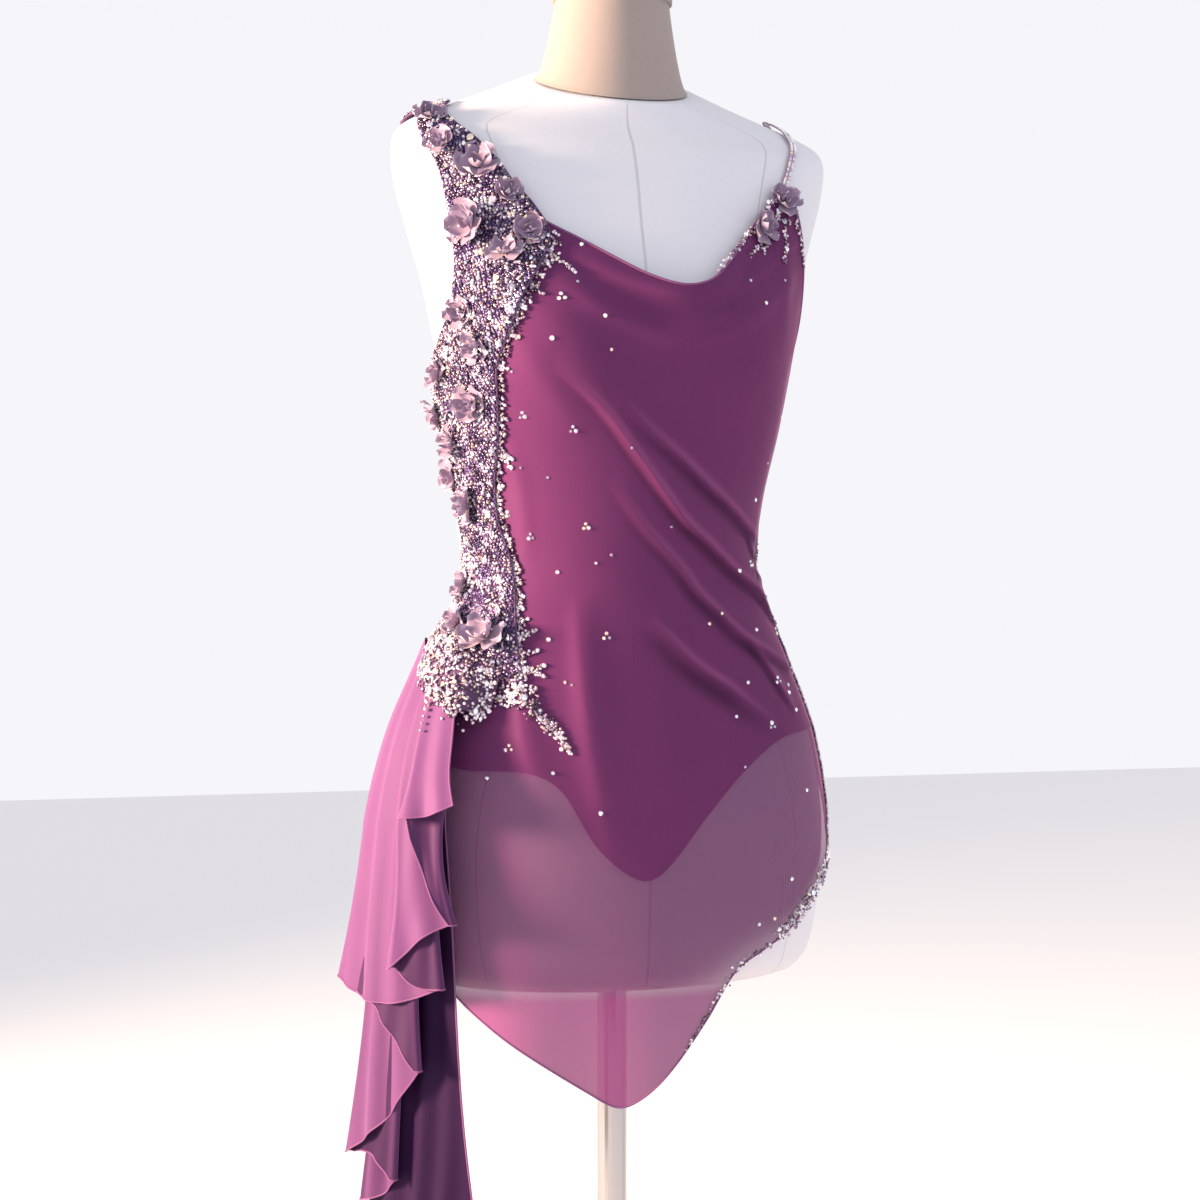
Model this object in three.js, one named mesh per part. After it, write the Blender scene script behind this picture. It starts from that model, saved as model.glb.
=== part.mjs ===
// A lyrical dance dress on a short, limbless dress form.
// Millimetres, +Z up. The origin is the centre of the underside of the stand's base, and the front
// of the dress faces -Y, with the wearer's left towards +X.
//
// Every piece of cloth follows the form. A place on the form is an angle in degrees (0 at the centre
// front, positive towards the wearer's left), a height above the form's lower edge, and a distance
// out from its skin, and the pieces are layered by that distance.
import * as THREE from 'three';
import { mergeVertices } from 'three/addons/utils/BufferGeometryUtils.js';

// ---- Driving dimensions ----

const FORM_LIFT = 330; // the form's lower edge above the floor
const HANG_FROM = 130; // below this height, the fullest of the hips, the skirt hangs straight down
const WALL = 1.3; // thickness of the mesh cloth

// Distances from the form's skin to the inner face of each layer.
const FORM_SKIN = -1.5;
const LINING_OUT = 0.3;
const MESH_OUT = 2.9;
const BAND_OUT = 5.5;
const STRAP_OUT = 1.0;

// Rings of the dress form: height, half width, depth in front of and behind the centre line,
// squareness of the oval, and the lean of the ring over the slope of the shoulders.
const FORM_RINGS = [
  { h: 0, half: 160, front: 100, back: 108, square: 2.1, lean: 0 },
  { h: 14, half: 172, front: 110, back: 119, square: 2.1, lean: 0 },
  { h: 60, half: 181, front: 117, back: 128, square: 2.15, lean: 0 },
  { h: 130, half: 184, front: 119, back: 131, square: 2.2, lean: 0 },
  { h: 200, half: 173, front: 113, back: 121, square: 2.2, lean: 0 },
  { h: 265, half: 149, front: 103, back: 102, square: 2.15, lean: 0 },
  { h: 335, half: 122, front: 93, back: 84, square: 2.1, lean: 0 },
  { h: 395, half: 127, front: 99, back: 84, square: 2.1, lean: 0 },
  { h: 460, half: 141, front: 108, back: 92, square: 2.2, lean: 0 },
  { h: 530, half: 153, front: 111, back: 102, square: 2.3, lean: 0 },
  { h: 580, half: 163, front: 103, back: 108, square: 2.4, lean: 0 },
  { h: 620, half: 174, front: 92, back: 111, square: 2.5, lean: 0 },
  { h: 660, half: 185, front: 80, back: 107, square: 2.6, lean: 0 },
  { h: 690, half: 189, front: 68, back: 98, square: 2.7, lean: 0.04 },
  { h: 706, half: 184, front: 58, back: 90, square: 2.6, lean: 0.12 },
  { h: 718, half: 166, front: 53, back: 82, square: 2.5, lean: 0.22 },
  { h: 730, half: 136, front: 51, back: 75, square: 2.3, lean: 0.32 },
  { h: 741, half: 106, front: 51, back: 70, square: 2.15, lean: 0.42 },
  { h: 752, half: 76, front: 52, back: 66, square: 2.0, lean: 0.5 },
];
const BUST = { angle: 33, spread: 17, h: 528, rise: 40, out: 20, ease: 1.9 };

// The neck block stands on the form's top ring and draws in towards the cap.
const NECK = {
  seam: 1,
  height: 70,
  lean: 0.1,
  flare: 0.6,
  bottom: { half: 66, front: 46, back: 58 },
  top: { half: 49, front: 46, back: 50 },
};
const NECK_CAP = { height: 8, edge: 4.8, overhang: 3, crown: 0.9, gap: 0.3 };
const BASE = { radius: 165, round: 2, edge: 14, bevel: 3, boss: 42, height: 20 };
const COLLAR = { radius: 26, height: 26, bevel: 8 };
const POLE = { radius: 12.5, gap: 0.3 };
const STAND_SIDES = 24;

const GAP = 0.3; // between pieces that are sewn or fixed together
const SEAM_ANGLE = 0.12; // the same gap as an angle at a side seam

// ---- Materials ----

const plain = (color, roughness, metalness = 0) => new THREE.MeshStandardMaterial({ color, roughness, metalness });
const LINEN = plain(0xeee4d4, 0.9);
const METAL = plain(0xc9c9c6, 0.35, 0.9);
const WOOD = plain(0x9a7a58, 0.6);
const LINING = plain(0x5a2850, 0.7);
const MESH = plain(0xa5527f, 0.6);
const BEADED = plain(0xb9a6c0, 0.4);
const ELASTIC = plain(0xc7a4b4, 0.6);
const PETAL = plain(0x9a7f8e, 0.7);

// ---- The surface of the form ----

const degrees = (angle) => THREE.MathUtils.degToRad(angle);
const lerp = THREE.MathUtils.lerp;
const clamp = THREE.MathUtils.clamp;
const bell = (x) => Math.exp((-x * x) / 2);

// A smooth curve through a table's rows: the value of one column at a place between two rows.
function smoothColumn(rows, key, column, at) {
  const x = clamp(at, rows[0][key], rows[rows.length - 1][key]);
  let i = 0;
  while (i < rows.length - 2 && rows[i + 1][key] < x) i += 1;
  const slope = (a, b) => (rows[b][column] - rows[a][column]) / (rows[b][key] - rows[a][key]);
  const last = rows.length - 1;
  const tangent = (j) => slope(Math.max(j - 1, 0), Math.min(j + 1, last));
  const width = rows[i + 1][key] - rows[i][key];
  const t = (x - rows[i][key]) / width;
  const t2 = t * t;
  const t3 = t2 * t;
  return (
    (2 * t3 - 3 * t2 + 1) * rows[i][column] +
    (t3 - 2 * t2 + t) * width * tangent(i) +
    (3 * t2 - 2 * t3) * rows[i + 1][column] +
    (t3 - t2) * width * tangent(i + 1)
  );
}

const bustSwell = (angle, h) => bell((Math.abs(angle) - BUST.angle) / BUST.spread) * bell((h - BUST.h) / BUST.rise);

function skinPoint(angle, h, hangs) {
  const level = hangs ? Math.max(h, HANG_FROM) : h;
  const ring = (column) => smoothColumn(FORM_RINGS, 'h', column, level);
  const sin = Math.sin(degrees(angle));
  const cos = Math.cos(degrees(angle));
  const square = ring('square');
  const reach = (Math.abs(sin) ** square + Math.abs(cos) ** square) ** (1 / square);
  const x = (ring('half') * sin) / reach;
  let y = (-(cos > 0 ? ring('front') : ring('back')) * cos) / reach;
  if (cos > 0) {
    y -= BUST.out * bustSwell(angle, h);
  }
  return new THREE.Vector3(x, y, FORM_LIFT + h + ring('lean') * y);
}

function skinNormal(angle, h, hangs) {
  const step = 0.5;
  const round = skinPoint(angle + step, h, hangs).sub(skinPoint(angle - step, h, hangs));
  const up = skinPoint(angle, h + step, hangs).sub(skinPoint(angle, h - step, hangs));
  return round.cross(up).normalize();
}

const onForm = (angle, h, out, hangs = false) =>
  skinPoint(angle, h, hangs).addScaledVector(skinNormal(angle, h, hangs), out);

// ---- Solids from rows of points ----

function solid(points, triangles) {
  const geometry = new THREE.BufferGeometry();
  geometry.setAttribute('position', new THREE.Float32BufferAttribute(points.flatMap((p) => [p.x, p.y, p.z]), 3));
  let volume = 0;
  for (const [a, b, c] of triangles) {
    volume += points[a].dot(points[b].clone().cross(points[c]));
  }
  geometry.setIndex(triangles.flatMap(([a, b, c]) => (volume < 0 ? [a, c, b] : [a, b, c])));
  const merged = mergeVertices(geometry, 0.001);
  merged.computeVertexNormals();
  return merged;
}

function strip(triangles, a, b, c, d) {
  triangles.push([a, b, c], [a, c, d]);
}

// A wall of cloth between two grids of points, outer and inner, that are closed along their edges.
function wallBetween(outer, inner) {
  const rows = outer.length;
  const columns = outer[0].length;
  const points = [...outer.flat(), ...inner.flat()];
  const half = rows * columns;
  const triangles = [];
  const at = (i, j) => i * columns + j;
  for (let i = 0; i < rows - 1; i += 1) {
    for (let j = 0; j < columns - 1; j += 1) {
      strip(triangles, at(i, j), at(i + 1, j), at(i + 1, j + 1), at(i, j + 1));
      strip(triangles, half + at(i, j), half + at(i, j + 1), half + at(i + 1, j + 1), half + at(i + 1, j));
    }
  }
  const rim = [];
  for (let j = 0; j < columns - 1; j += 1) rim.push(at(0, j));
  for (let i = 0; i < rows - 1; i += 1) rim.push(at(i, columns - 1));
  for (let j = columns - 1; j > 0; j -= 1) rim.push(at(rows - 1, j));
  for (let i = rows - 1; i > 0; i -= 1) rim.push(at(i, 0));
  rim.forEach((a, k) => {
    const b = rim[(k + 1) % rim.length];
    strip(triangles, a, b, half + b, half + a);
  });
  return solid(points, triangles);
}

// A closed body through rings of points, from the lowest ring to the highest, capped at both ends.
function loft(rings) {
  const around = rings[0].length;
  const centre = (ring) => ring.reduce((sum, p) => sum.add(p), new THREE.Vector3()).divideScalar(around);
  const points = [...rings.flat(), centre(rings[0]), centre(rings[rings.length - 1])];
  const bottom = rings.length * around;
  const triangles = [];
  for (let j = 0; j < around; j += 1) {
    const next = (j + 1) % around;
    for (let i = 0; i < rings.length - 1; i += 1) {
      strip(triangles, i * around + j, i * around + next, (i + 1) * around + next, (i + 1) * around + j);
    }
    const top = (rings.length - 1) * around;
    triangles.push([bottom, next, j], [bottom + 1, top + j, top + next]);
  }
  return solid(points, triangles);
}

const spaced = (from, to, count) => Array.from({ length: count }, (_, i) => lerp(from, to, i / (count - 1)));

const group = new THREE.Group();

function add(name, geometry, material) {
  const mesh = new THREE.Mesh(geometry, material);
  mesh.name = name;
  group.add(mesh);
  return mesh;
}

// ---- The dress form and its stand ----

const AROUND_FORM = 36;
const ringAngles = Array.from({ length: AROUND_FORM }, (_, i) => (i * 360) / AROUND_FORM - 180);

function formTorso() {
  const heights = [0, 5, 16, 65, 125, 175, 220, 262, 300, 330, 357, 392, 440, 485, 512, 534, 560, 600, 645];
  heights.push(684, 704, 718, 732, 752);
  const out = (angle, h) => FORM_SKIN - BUST.ease * bustSwell(angle, h); // the cloth stands off the bust a little
  return loft(heights.map((h) => ringAngles.map((angle) => onForm(angle, h, out(angle, h)))));
}

function neckRing(share, widen = 0) {
  const formTop = FORM_RINGS[FORM_RINGS.length - 1];
  const half = lerp(NECK.bottom.half, NECK.top.half, share ** NECK.flare) + widen;
  return ringAngles.filter((_, i) => i % 2 === 0).map((angle) => {
    const sin = Math.sin(degrees(angle));
    const cos = Math.cos(degrees(angle));
    const side = cos > 0 ? 'front' : 'back';
    const y = -lerp(NECK.bottom[side], NECK.top[side], share) * cos;
    const lean = lerp(formTop.lean, NECK.lean, share);
    const z = FORM_LIFT + formTop.h + NECK.seam + share * NECK.height + lean * y;
    return new THREE.Vector3(half * sin, y - widen * cos, z);
  });
}

function neckCap() {
  const low = neckRing(1, NECK_CAP.overhang).map((p) => p.add(new THREE.Vector3(0, 0, NECK_CAP.gap)));
  const high = low.map((p) => p.clone().add(new THREE.Vector3(0, 0, NECK_CAP.edge)));
  const top = low.map((p) => new THREE.Vector3(p.x * NECK_CAP.crown, p.y * NECK_CAP.crown, p.z + NECK_CAP.height));
  return loft([low, high, top]);
}

function standTurned(profile) {
  const outline = profile.map(([radius, z]) => new THREE.Vector2(radius, z));
  const turned = new THREE.LatheGeometry(outline, STAND_SIDES);
  turned.deleteAttribute('uv');
  turned.deleteAttribute('normal');
  turned.rotateX(Math.PI / 2);
  const merged = mergeVertices(turned, 0.001);
  merged.computeVertexNormals();
  return merged;
}

function standBase() {
  return standTurned([
    [0, 0],
    [BASE.radius - BASE.round, 0],
    [BASE.radius, BASE.round],
    [BASE.radius, BASE.edge - BASE.bevel],
    [BASE.radius - BASE.bevel, BASE.edge],
    [BASE.boss, BASE.height],
    [0, BASE.height],
  ]);
}

function standCollar() {
  const low = BASE.height + GAP;
  const inner = POLE.radius + POLE.gap;
  return standTurned([
    [inner, low],
    [COLLAR.radius, low],
    [COLLAR.radius, low + COLLAR.height - COLLAR.bevel],
    [COLLAR.radius - COLLAR.bevel, low + COLLAR.height],
    [inner, low + COLLAR.height],
    [inner, low],
  ]);
}

function standPole() {
  const low = BASE.height + GAP;
  const high = FORM_LIFT - GAP;
  return standTurned([
    [0, low],
    [POLE.radius, low],
    [POLE.radius, high],
    [0, high],
  ]);
}

add('form_torso', formTorso(), LINEN);
add('form_neck', loft([0, 0.15, 0.4, 0.7, 1].map((share) => neckRing(share))), LINEN);
add('form_neck_cap', neckCap(), LINEN);
add('stand_base', standBase(), WOOD);
add('stand_collar', standCollar(), METAL);
add('stand_pole', standPole(), METAL);

// ---- Panels cut between a top and a bottom edge ----

// A panel of cloth: its columns run down at set angles between two edges, each a table of heights.
function panel({ angles, top, bottom, rows, out, wall, relief = () => 0, hangs = false }) {
  const grid = (extra) =>
    spaced(0, 1, rows).map((share) =>
      angles.map((angle) => {
        const high = smoothColumn(top, 'angle', 'h', angle);
        const low = smoothColumn(bottom, 'angle', 'h', angle);
        const h = lerp(high, low, share);
        return onForm(angle, h, out + extra + relief(angle, h, high - h), hangs);
      }),
    );
  return wallBetween(grid(wall), grid(0));
}

// The side seams of the lining, and of the mesh skirt on the wearer's right.
const LINING_SEAM = 96;
const MESH_SEAM_RIGHT = -101;
const MESH_EDGE_LEFT = 84;

// The lining is a leotard. It ends just inside the neckline, and shows through the mesh as a high-cut
// brief with a point at the front and the back.
const LINING_FRONT_TOP = [
  { angle: -96, h: 504 },
  { angle: -78, h: 512 },
  { angle: -66, h: 532 },
  { angle: -60, h: 551 },
  { angle: -55, h: 579 },
  { angle: -50, h: 600 },
  { angle: -40, h: 611 },
  { angle: -31, h: 609 },
  { angle: -22, h: 595 },
  { angle: -10, h: 574 },
  { angle: 0, h: 559 },
  { angle: 10, h: 551 },
  { angle: 18, h: 557 },
  { angle: 24, h: 575 },
  { angle: 30, h: 601 },
  { angle: 36, h: 625 },
  { angle: 40, h: 632 },
  { angle: 45, h: 624 },
  { angle: 52, h: 603 },
  { angle: 60, h: 575 },
  { angle: 68, h: 546 },
  { angle: 76, h: 521 },
  { angle: 84, h: 507 },
  { angle: 96, h: 504 },
];
const LEG_LINE_FRONT = [
  { angle: -96, h: 196 },
  { angle: -50, h: 180 },
  { angle: -31, h: 178 },
  { angle: -22, h: 163 },
  { angle: -13, h: 119 },
  { angle: -3, h: 94 },
  { angle: 3, h: 99 },
  { angle: 15, h: 143 },
  { angle: 26, h: 175 },
  { angle: 39, h: 197 },
  { angle: 52, h: 204 },
  { angle: 96, h: 206 },
];
const BACK_TOP = [
  { angle: 96, h: 508 },
  { angle: 112, h: 500 },
  { angle: 140, h: 450 },
  { angle: 180, h: 418 },
  { angle: 220, h: 450 },
  { angle: 248, h: 500 },
  { angle: 264, h: 508 },
];
const LEG_LINE_BACK = [
  { angle: 96, h: 206 },
  { angle: 120, h: 176 },
  { angle: 150, h: 120 },
  { angle: 174, h: 94 },
  { angle: 186, h: 94 },
  { angle: 210, h: 120 },
  { angle: 240, h: 172 },
  { angle: 264, h: 196 },
];
const LINING_WALL = 1.0;

add('lining_front', panel({
  angles: [...spaced(-LINING_SEAM + SEAM_ANGLE, -28, 10), ...spaced(-21, 24, 8), ...spaced(31, LINING_SEAM - SEAM_ANGLE, 10)],
  top: LINING_FRONT_TOP,
  bottom: LEG_LINE_FRONT,
  rows: 15,
  out: LINING_OUT,
  wall: LINING_WALL,
}), LINING);

add('lining_back', panel({
  angles: spaced(LINING_SEAM + SEAM_ANGLE, 360 - LINING_SEAM - SEAM_ANGLE, 19),
  top: BACK_TOP,
  bottom: LEG_LINE_BACK,
  rows: 15,
  out: LINING_OUT,
  wall: LINING_WALL,
}), LINING);

// ---- The mesh overdress ----

const FRONT_TOP = [
  { angle: -101, h: 504 },
  { angle: -90, h: 509 },
  { angle: -78, h: 519 },
  { angle: -66, h: 540 },
  { angle: -60, h: 560 },
  { angle: -55, h: 590 },
  { angle: -50, h: 612 },
  { angle: -40, h: 622 },
  { angle: -31, h: 620 },
  { angle: -22, h: 605 },
  { angle: -10, h: 583 },
  { angle: 0, h: 567 },
  { angle: 10, h: 559 },
  { angle: 18, h: 566 },
  { angle: 24, h: 586 },
  { angle: 30, h: 614 },
  { angle: 36, h: 642 },
  { angle: 40, h: 652 },
  { angle: 45, h: 644 },
  { angle: 52, h: 619 },
  { angle: 60, h: 588 },
  { angle: 68, h: 556 },
  { angle: 76, h: 530 },
  { angle: 84, h: 514 },
];
const FRONT_HEM = [
  { angle: -101, h: 24 },
  { angle: -75, h: 22 },
  { angle: -55, h: 9 },
  { angle: -46, h: -9 },
  { angle: -31, h: -40 },
  { angle: -16, h: -71 },
  { angle: -9, h: -83 },
  { angle: -4, h: -79 },
  { angle: 3, h: -61 },
  { angle: 14, h: -19 },
  { angle: 22, h: 16 },
  { angle: 30, h: 31 },
  { angle: 40, h: 45 },
  { angle: 56, h: 76 },
  { angle: 68, h: 96 },
  { angle: 76, h: 118 },
  { angle: 84, h: 158 },
];

// The cowl rolls outwards under the neckline and falls back into a soft trough.
const COWL = { middle: 12, spread: 16, roll: 9, depth: 34, start: 0.75, curl: 1.5 };

// The folds of the front run from the bust and the hip to the gathers at the wearer's left waist.
// Each is a soft ridge along a curve through three places, high at its middle or at its end.
const FRONT_FOLDS = [
  { from: [-16, 480], via: [16, 392], to: [77, 300], height: 6.5, width: 10, end: 0.9 },
  { from: [0, 366], via: [24, 312], to: [72, 262], height: 5, width: 9, end: 0.55 },
  { from: [-4, 350], via: [15, 290], to: [48, 208], height: 3, width: 12, end: 0.2 },
  { from: [-24, 322], via: [-18, 232], to: [-9, 105], height: 3.5, width: 12, end: 0.1 },
  { from: [40, 640], via: [46, 590], to: [48, 520], height: 2.5, width: 9, end: 0 },
  { from: [30, 420], via: [52, 372], to: [78, 330], height: 4, width: 8, end: 0.8 },
];
const MM_PER_DEGREE = 2.7;
const FOLD_STEPS = 16;

function foldRidge(fold, angle, h) {
  let nearest = Infinity;
  let along = 0;
  for (let i = 0; i <= FOLD_STEPS; i += 1) {
    const t = i / FOLD_STEPS;
    const curve = (k) => (1 - t) ** 2 * fold.from[k] + 2 * t * (1 - t) * fold.via[k] + t ** 2 * fold.to[k];
    const distance = Math.hypot((angle - curve(0)) * MM_PER_DEGREE, h - curve(1));
    if (distance < nearest) {
      nearest = distance;
      along = t;
    }
  }
  const swell = along < 0.5 ? Math.sin(Math.PI * along) : lerp(fold.end, 1, Math.sin(Math.PI * along));
  return fold.height * swell * bell(nearest / fold.width);
}

// Below the hips the hem swings in shallow flutes, which start a little above where the skirt hangs free.
const FLUTE_FROM = HANG_FROM + 20;
const FLUTE_LENGTH = 180;
const FLUTES = [
  { angle: -33, spread: 8, out: 5 },
  { angle: 2, spread: 9, out: 6 },
  { angle: 34, spread: 8, out: 5 },
  { angle: 66, spread: 9, out: 6 },
];

function fluteOut(flutes, angle, h) {
  const hung = clamp((FLUTE_FROM - h) / FLUTE_LENGTH, 0, 1);
  return flutes.reduce((sum, flute) => sum + flute.out * hung * bell((angle - flute.angle) / flute.spread), 0);
}

function frontRelief(angle, h, below) {
  const sweep = bell((angle - COWL.middle) / COWL.spread);
  const turn = clamp(below / COWL.depth, 0, 1);
  const cowl = COWL.roll * sweep * (1 - turn) ** COWL.curl * (COWL.start + turn);
  return cowl + FRONT_FOLDS.reduce((sum, fold) => sum + foldRidge(fold, angle, h), 0) + fluteOut(FLUTES, angle, h);
}

add('mesh_front', panel({
  angles: [...spaced(MESH_SEAM_RIGHT, -15, 15), ...spaced(-10, MESH_EDGE_LEFT, 20)],
  top: FRONT_TOP,
  bottom: FRONT_HEM,
  rows: 29,
  out: MESH_OUT,
  wall: WALL,
  relief: frontRelief,
  hangs: true,
}), MESH);

// The back of the skirt is set on at the waist and hangs short at the wearer's left, longer towards
// the drape at the right hip.
const SKIRT_BACK_TOP = [
  { angle: 86, h: 338 },
  { angle: 172, h: 346 },
  { angle: 259, h: 338 },
];
const SKIRT_BACK_HEM = [
  { angle: 86, h: 148 },
  { angle: 96, h: 104 },
  { angle: 125, h: 72 },
  { angle: 180, h: 38 },
  { angle: 230, h: 10 },
  { angle: 259, h: 24 },
];
const BACK_FLUTES = [
  { angle: 112, spread: 8, out: 7 },
  { angle: 143, spread: 9, out: 9 },
  { angle: 176, spread: 9, out: 8 },
  { angle: 208, spread: 9, out: 9 },
  { angle: 238, spread: 8, out: 7 },
];
const WAIST_GATHERS = { every: 17, height: 2.2, seam: 20, reach: 120 };

function backRelief(angle, h, below) {
  const gather = (1 + Math.cos(degrees((angle * 360) / WAIST_GATHERS.every))) / 2;
  const nearWaist = Math.max(0, 1 - below / WAIST_GATHERS.reach) * Math.min(1, below / WAIST_GATHERS.seam);
  return WAIST_GATHERS.height * gather * nearWaist + fluteOut(BACK_FLUTES, angle, h);
}

add('mesh_skirt_back', panel({
  angles: spaced(86, 360 + MESH_SEAM_RIGHT - SEAM_ANGLE, 31),
  top: SKIRT_BACK_TOP,
  bottom: SKIRT_BACK_HEM,
  rows: 9,
  out: MESH_OUT,
  wall: WALL,
  relief: backRelief,
  hangs: true,
}), MESH);

// ---- Bands and straps ----

// A flat band along the form between two edges. Each row gives a place on the one edge and on the
// other, as an angle and a height, and how far out from the skin the band lies there.
function band(rows, { along, across, wall }) {
  const numbered = rows.map((row, i) => ({ i, a0: row.a[0], a1: row.a[1], b0: row.b[0], b1: row.b[1], out: row.out }));
  const grid = (extra) =>
    spaced(0, rows.length - 1, along).map((at) => {
      const value = (column) => smoothColumn(numbered, 'i', column, at);
      return spaced(0, 1, across).map((share) =>
        onForm(
          lerp(value('a0'), value('b0'), share),
          lerp(value('a1'), value('b1'), share),
          value('out') + extra,
          value('out') > MESH_OUT,
        ),
      );
    });
  return wallBetween(grid(wall), grid(0));
}

// The beaded band is the right shoulder strap and goes on down the side seam to the hip.
const SIDE_BAND = [
  { a: [-125, 702], b: [-128, 714], out: 3.6 },
  { a: [-108, 712], b: [-110, 723], out: 2.4 },
  { a: [-90, 717], b: [-90, 728.5], out: STRAP_OUT },
  { a: [-73, 714], b: [-66, 722], out: STRAP_OUT },
  { a: [-61, 706], b: [-50, 711], out: STRAP_OUT },
  { a: [-55, 685], b: [-41, 693], out: STRAP_OUT },
  { a: [-52, 662], b: [-35, 668], out: 1.8 },
  { a: [-52, 640], b: [-32, 646], out: 3.6 },
  { a: [-53, 616], b: [-28, 624], out: BAND_OUT },
  { a: [-55, 592], b: [-26, 600], out: BAND_OUT },
  { a: [-59, 566], b: [-31, 573], out: BAND_OUT },
  { a: [-66, 541], b: [-38, 547], out: BAND_OUT },
  { a: [-80, 518], b: [-43, 523], out: BAND_OUT },
  { a: [-95, 503], b: [-48, 500], out: BAND_OUT },
  { a: [-98, 474], b: [-49, 474], out: BAND_OUT },
  { a: [-98, 442], b: [-51, 442], out: BAND_OUT },
  { a: [-98, 410], b: [-56, 410], out: BAND_OUT },
  { a: [-98, 378], b: [-57, 378], out: BAND_OUT },
  { a: [-98, 346], b: [-52, 346], out: BAND_OUT },
  { a: [-98, 316], b: [-46, 306], out: BAND_OUT },
  { a: [-96, 291], b: [-36, 246], out: BAND_OUT },
];
const BAND_WALL = 1.4;

add('side_band', band(SIDE_BAND, { along: 29, across: 9, wall: BAND_WALL }), BEADED);

// A narrow strap follows a list of places with its own width in millimetres. It lies square to its
// run, which is taken this share of a place before and after.
const RUN_STEP = 0.05;

function strap(places, { width, along, wall }) {
  const numbered = places.map((place, i) => ({ i, angle: place.at[0], h: place.at[1], out: place.out }));
  const sample = (at) => ({
    angle: smoothColumn(numbered, 'i', 'angle', at),
    h: smoothColumn(numbered, 'i', 'h', at),
    out: smoothColumn(numbered, 'i', 'out', at),
  });
  const last = places.length - 1;
  const grid = (extra) =>
    spaced(0, last, along).map((at) => {
      const here = sample(at);
      const before = sample(Math.max(at - RUN_STEP, 0));
      const after = sample(Math.min(at + RUN_STEP, last));
      const run = onForm(after.angle, after.h, 0).sub(onForm(before.angle, before.h, 0)).normalize();
      const normal = skinNormal(here.angle, here.h, false);
      const side = run.clone().cross(normal).normalize();
      return [-0.5, 0, 0.5].map((share) =>
        skinPoint(here.angle, here.h, false)
          .addScaledVector(normal, here.out + extra)
          .addScaledVector(side, share * width),
      );
    });
  return wallBetween(grid(wall), grid(0));
}

const LEFT_STRAP = [
  { at: [40, 640], out: 1.0 },
  { at: [41.5, 668], out: 1.0 },
  { at: [44.5, 695], out: 1.0 },
  { at: [52, 714], out: 1.0 },
  { at: [68, 724], out: 1.0 },
  { at: [90, 729], out: 1.0 },
  { at: [112, 719], out: 1.0 },
  { at: [135, 692], out: 1.2 },
  { at: [158, 650], out: 1.6 },
  { at: [180, 613], out: 2.6 },
  { at: [205, 574], out: 2.4 },
  { at: [232, 536], out: 2.2 },
  { at: [252, 502], out: 2.2 },
];
const RIGHT_BACK_STRAP = [
  { at: [235.5, 709], out: 0.7 },
  { at: [230, 705], out: 0.9 },
  { at: [218, 684], out: 1.0 },
  { at: [201, 650], out: 0.9 },
  { at: [180, 613], out: 0.7 },
  { at: [155, 574], out: 0.9 },
  { at: [128, 536], out: 1.6 },
  { at: [108, 500], out: 2.2 },
];
const STRAP_WALL = 1.2;

add('left_strap', strap(LEFT_STRAP, { width: 7, along: 34, wall: STRAP_WALL }), BEADED);
add('right_back_strap', strap(RIGHT_BACK_STRAP, { width: 7, along: 20, wall: STRAP_WALL }), ELASTIC);

// ---- The waterfall drape at the right hip ----

// One long piece that falls in folds, back and forth from its outer edge to its inner one. Each row is
// a fold line: where it leaves the hip seam and where it ends, as an angle, a distance out and a
// height. Even rows turn at the front, odd rows at the side.
const WATERFALL = [
  { topAngle: -53, topOut: 25.0, topH: 231, endAngle: -46.5, endOut: 40, endH: 153 },
  { topAngle: -62, topOut: 24.3, topH: 240, endAngle: -58, endOut: 42, endH: 142 },
  { topAngle: -54, topOut: 21.5, topH: 233, endAngle: -48, endOut: 35, endH: 64 },
  { topAngle: -68, topOut: 20.8, topH: 248, endAngle: -61, endOut: 42, endH: 27 },
  { topAngle: -55, topOut: 18.0, topH: 234, endAngle: -51, endOut: 32, endH: 13 },
  { topAngle: -89, topOut: 17.0, topH: 276, endAngle: -87, endOut: 46, endH: 7 },
  { topAngle: -56, topOut: 14.5, topH: 235, endAngle: -59, endOut: 28, endH: -54 },
  { topAngle: -82, topOut: 13.4, topH: 267, endAngle: -84, endOut: 41, endH: -135 },
  { topAngle: -56, topOut: 11.3, topH: 235, endAngle: -69, endOut: 25, endH: -146 },
  { topAngle: -76, topOut: 10.0, topH: 262, endAngle: -81, endOut: 31, endH: -172 },
  { topAngle: -57, topOut: 7.2, topH: 235, endAngle: -43, endOut: 10, endH: -205 },
];
const WATERFALL_FLARE = 1.8; // how late a fold line swings out on its way down
const WATERFALL_WALL = 1.2;
const TURN = { topRadius: 0.95, endRadius: 2.7, steps: 3, mmPerDegree: 2.6 };
const FOLD_SWELL = 1.8; // how closely a fold follows the one above it before it falls away
const WATERFALL_ROWS = 11;
const PLAIN_STEPS = 1; // points between two turns

function waterfallLine(line, share) {
  const flare = share ** WATERFALL_FLARE;
  return {
    angle: lerp(line.topAngle, line.endAngle, share),
    out: lerp(line.topOut, line.endOut, flare),
    h: lerp(line.topH, line.endH, share),
  };
}

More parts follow.
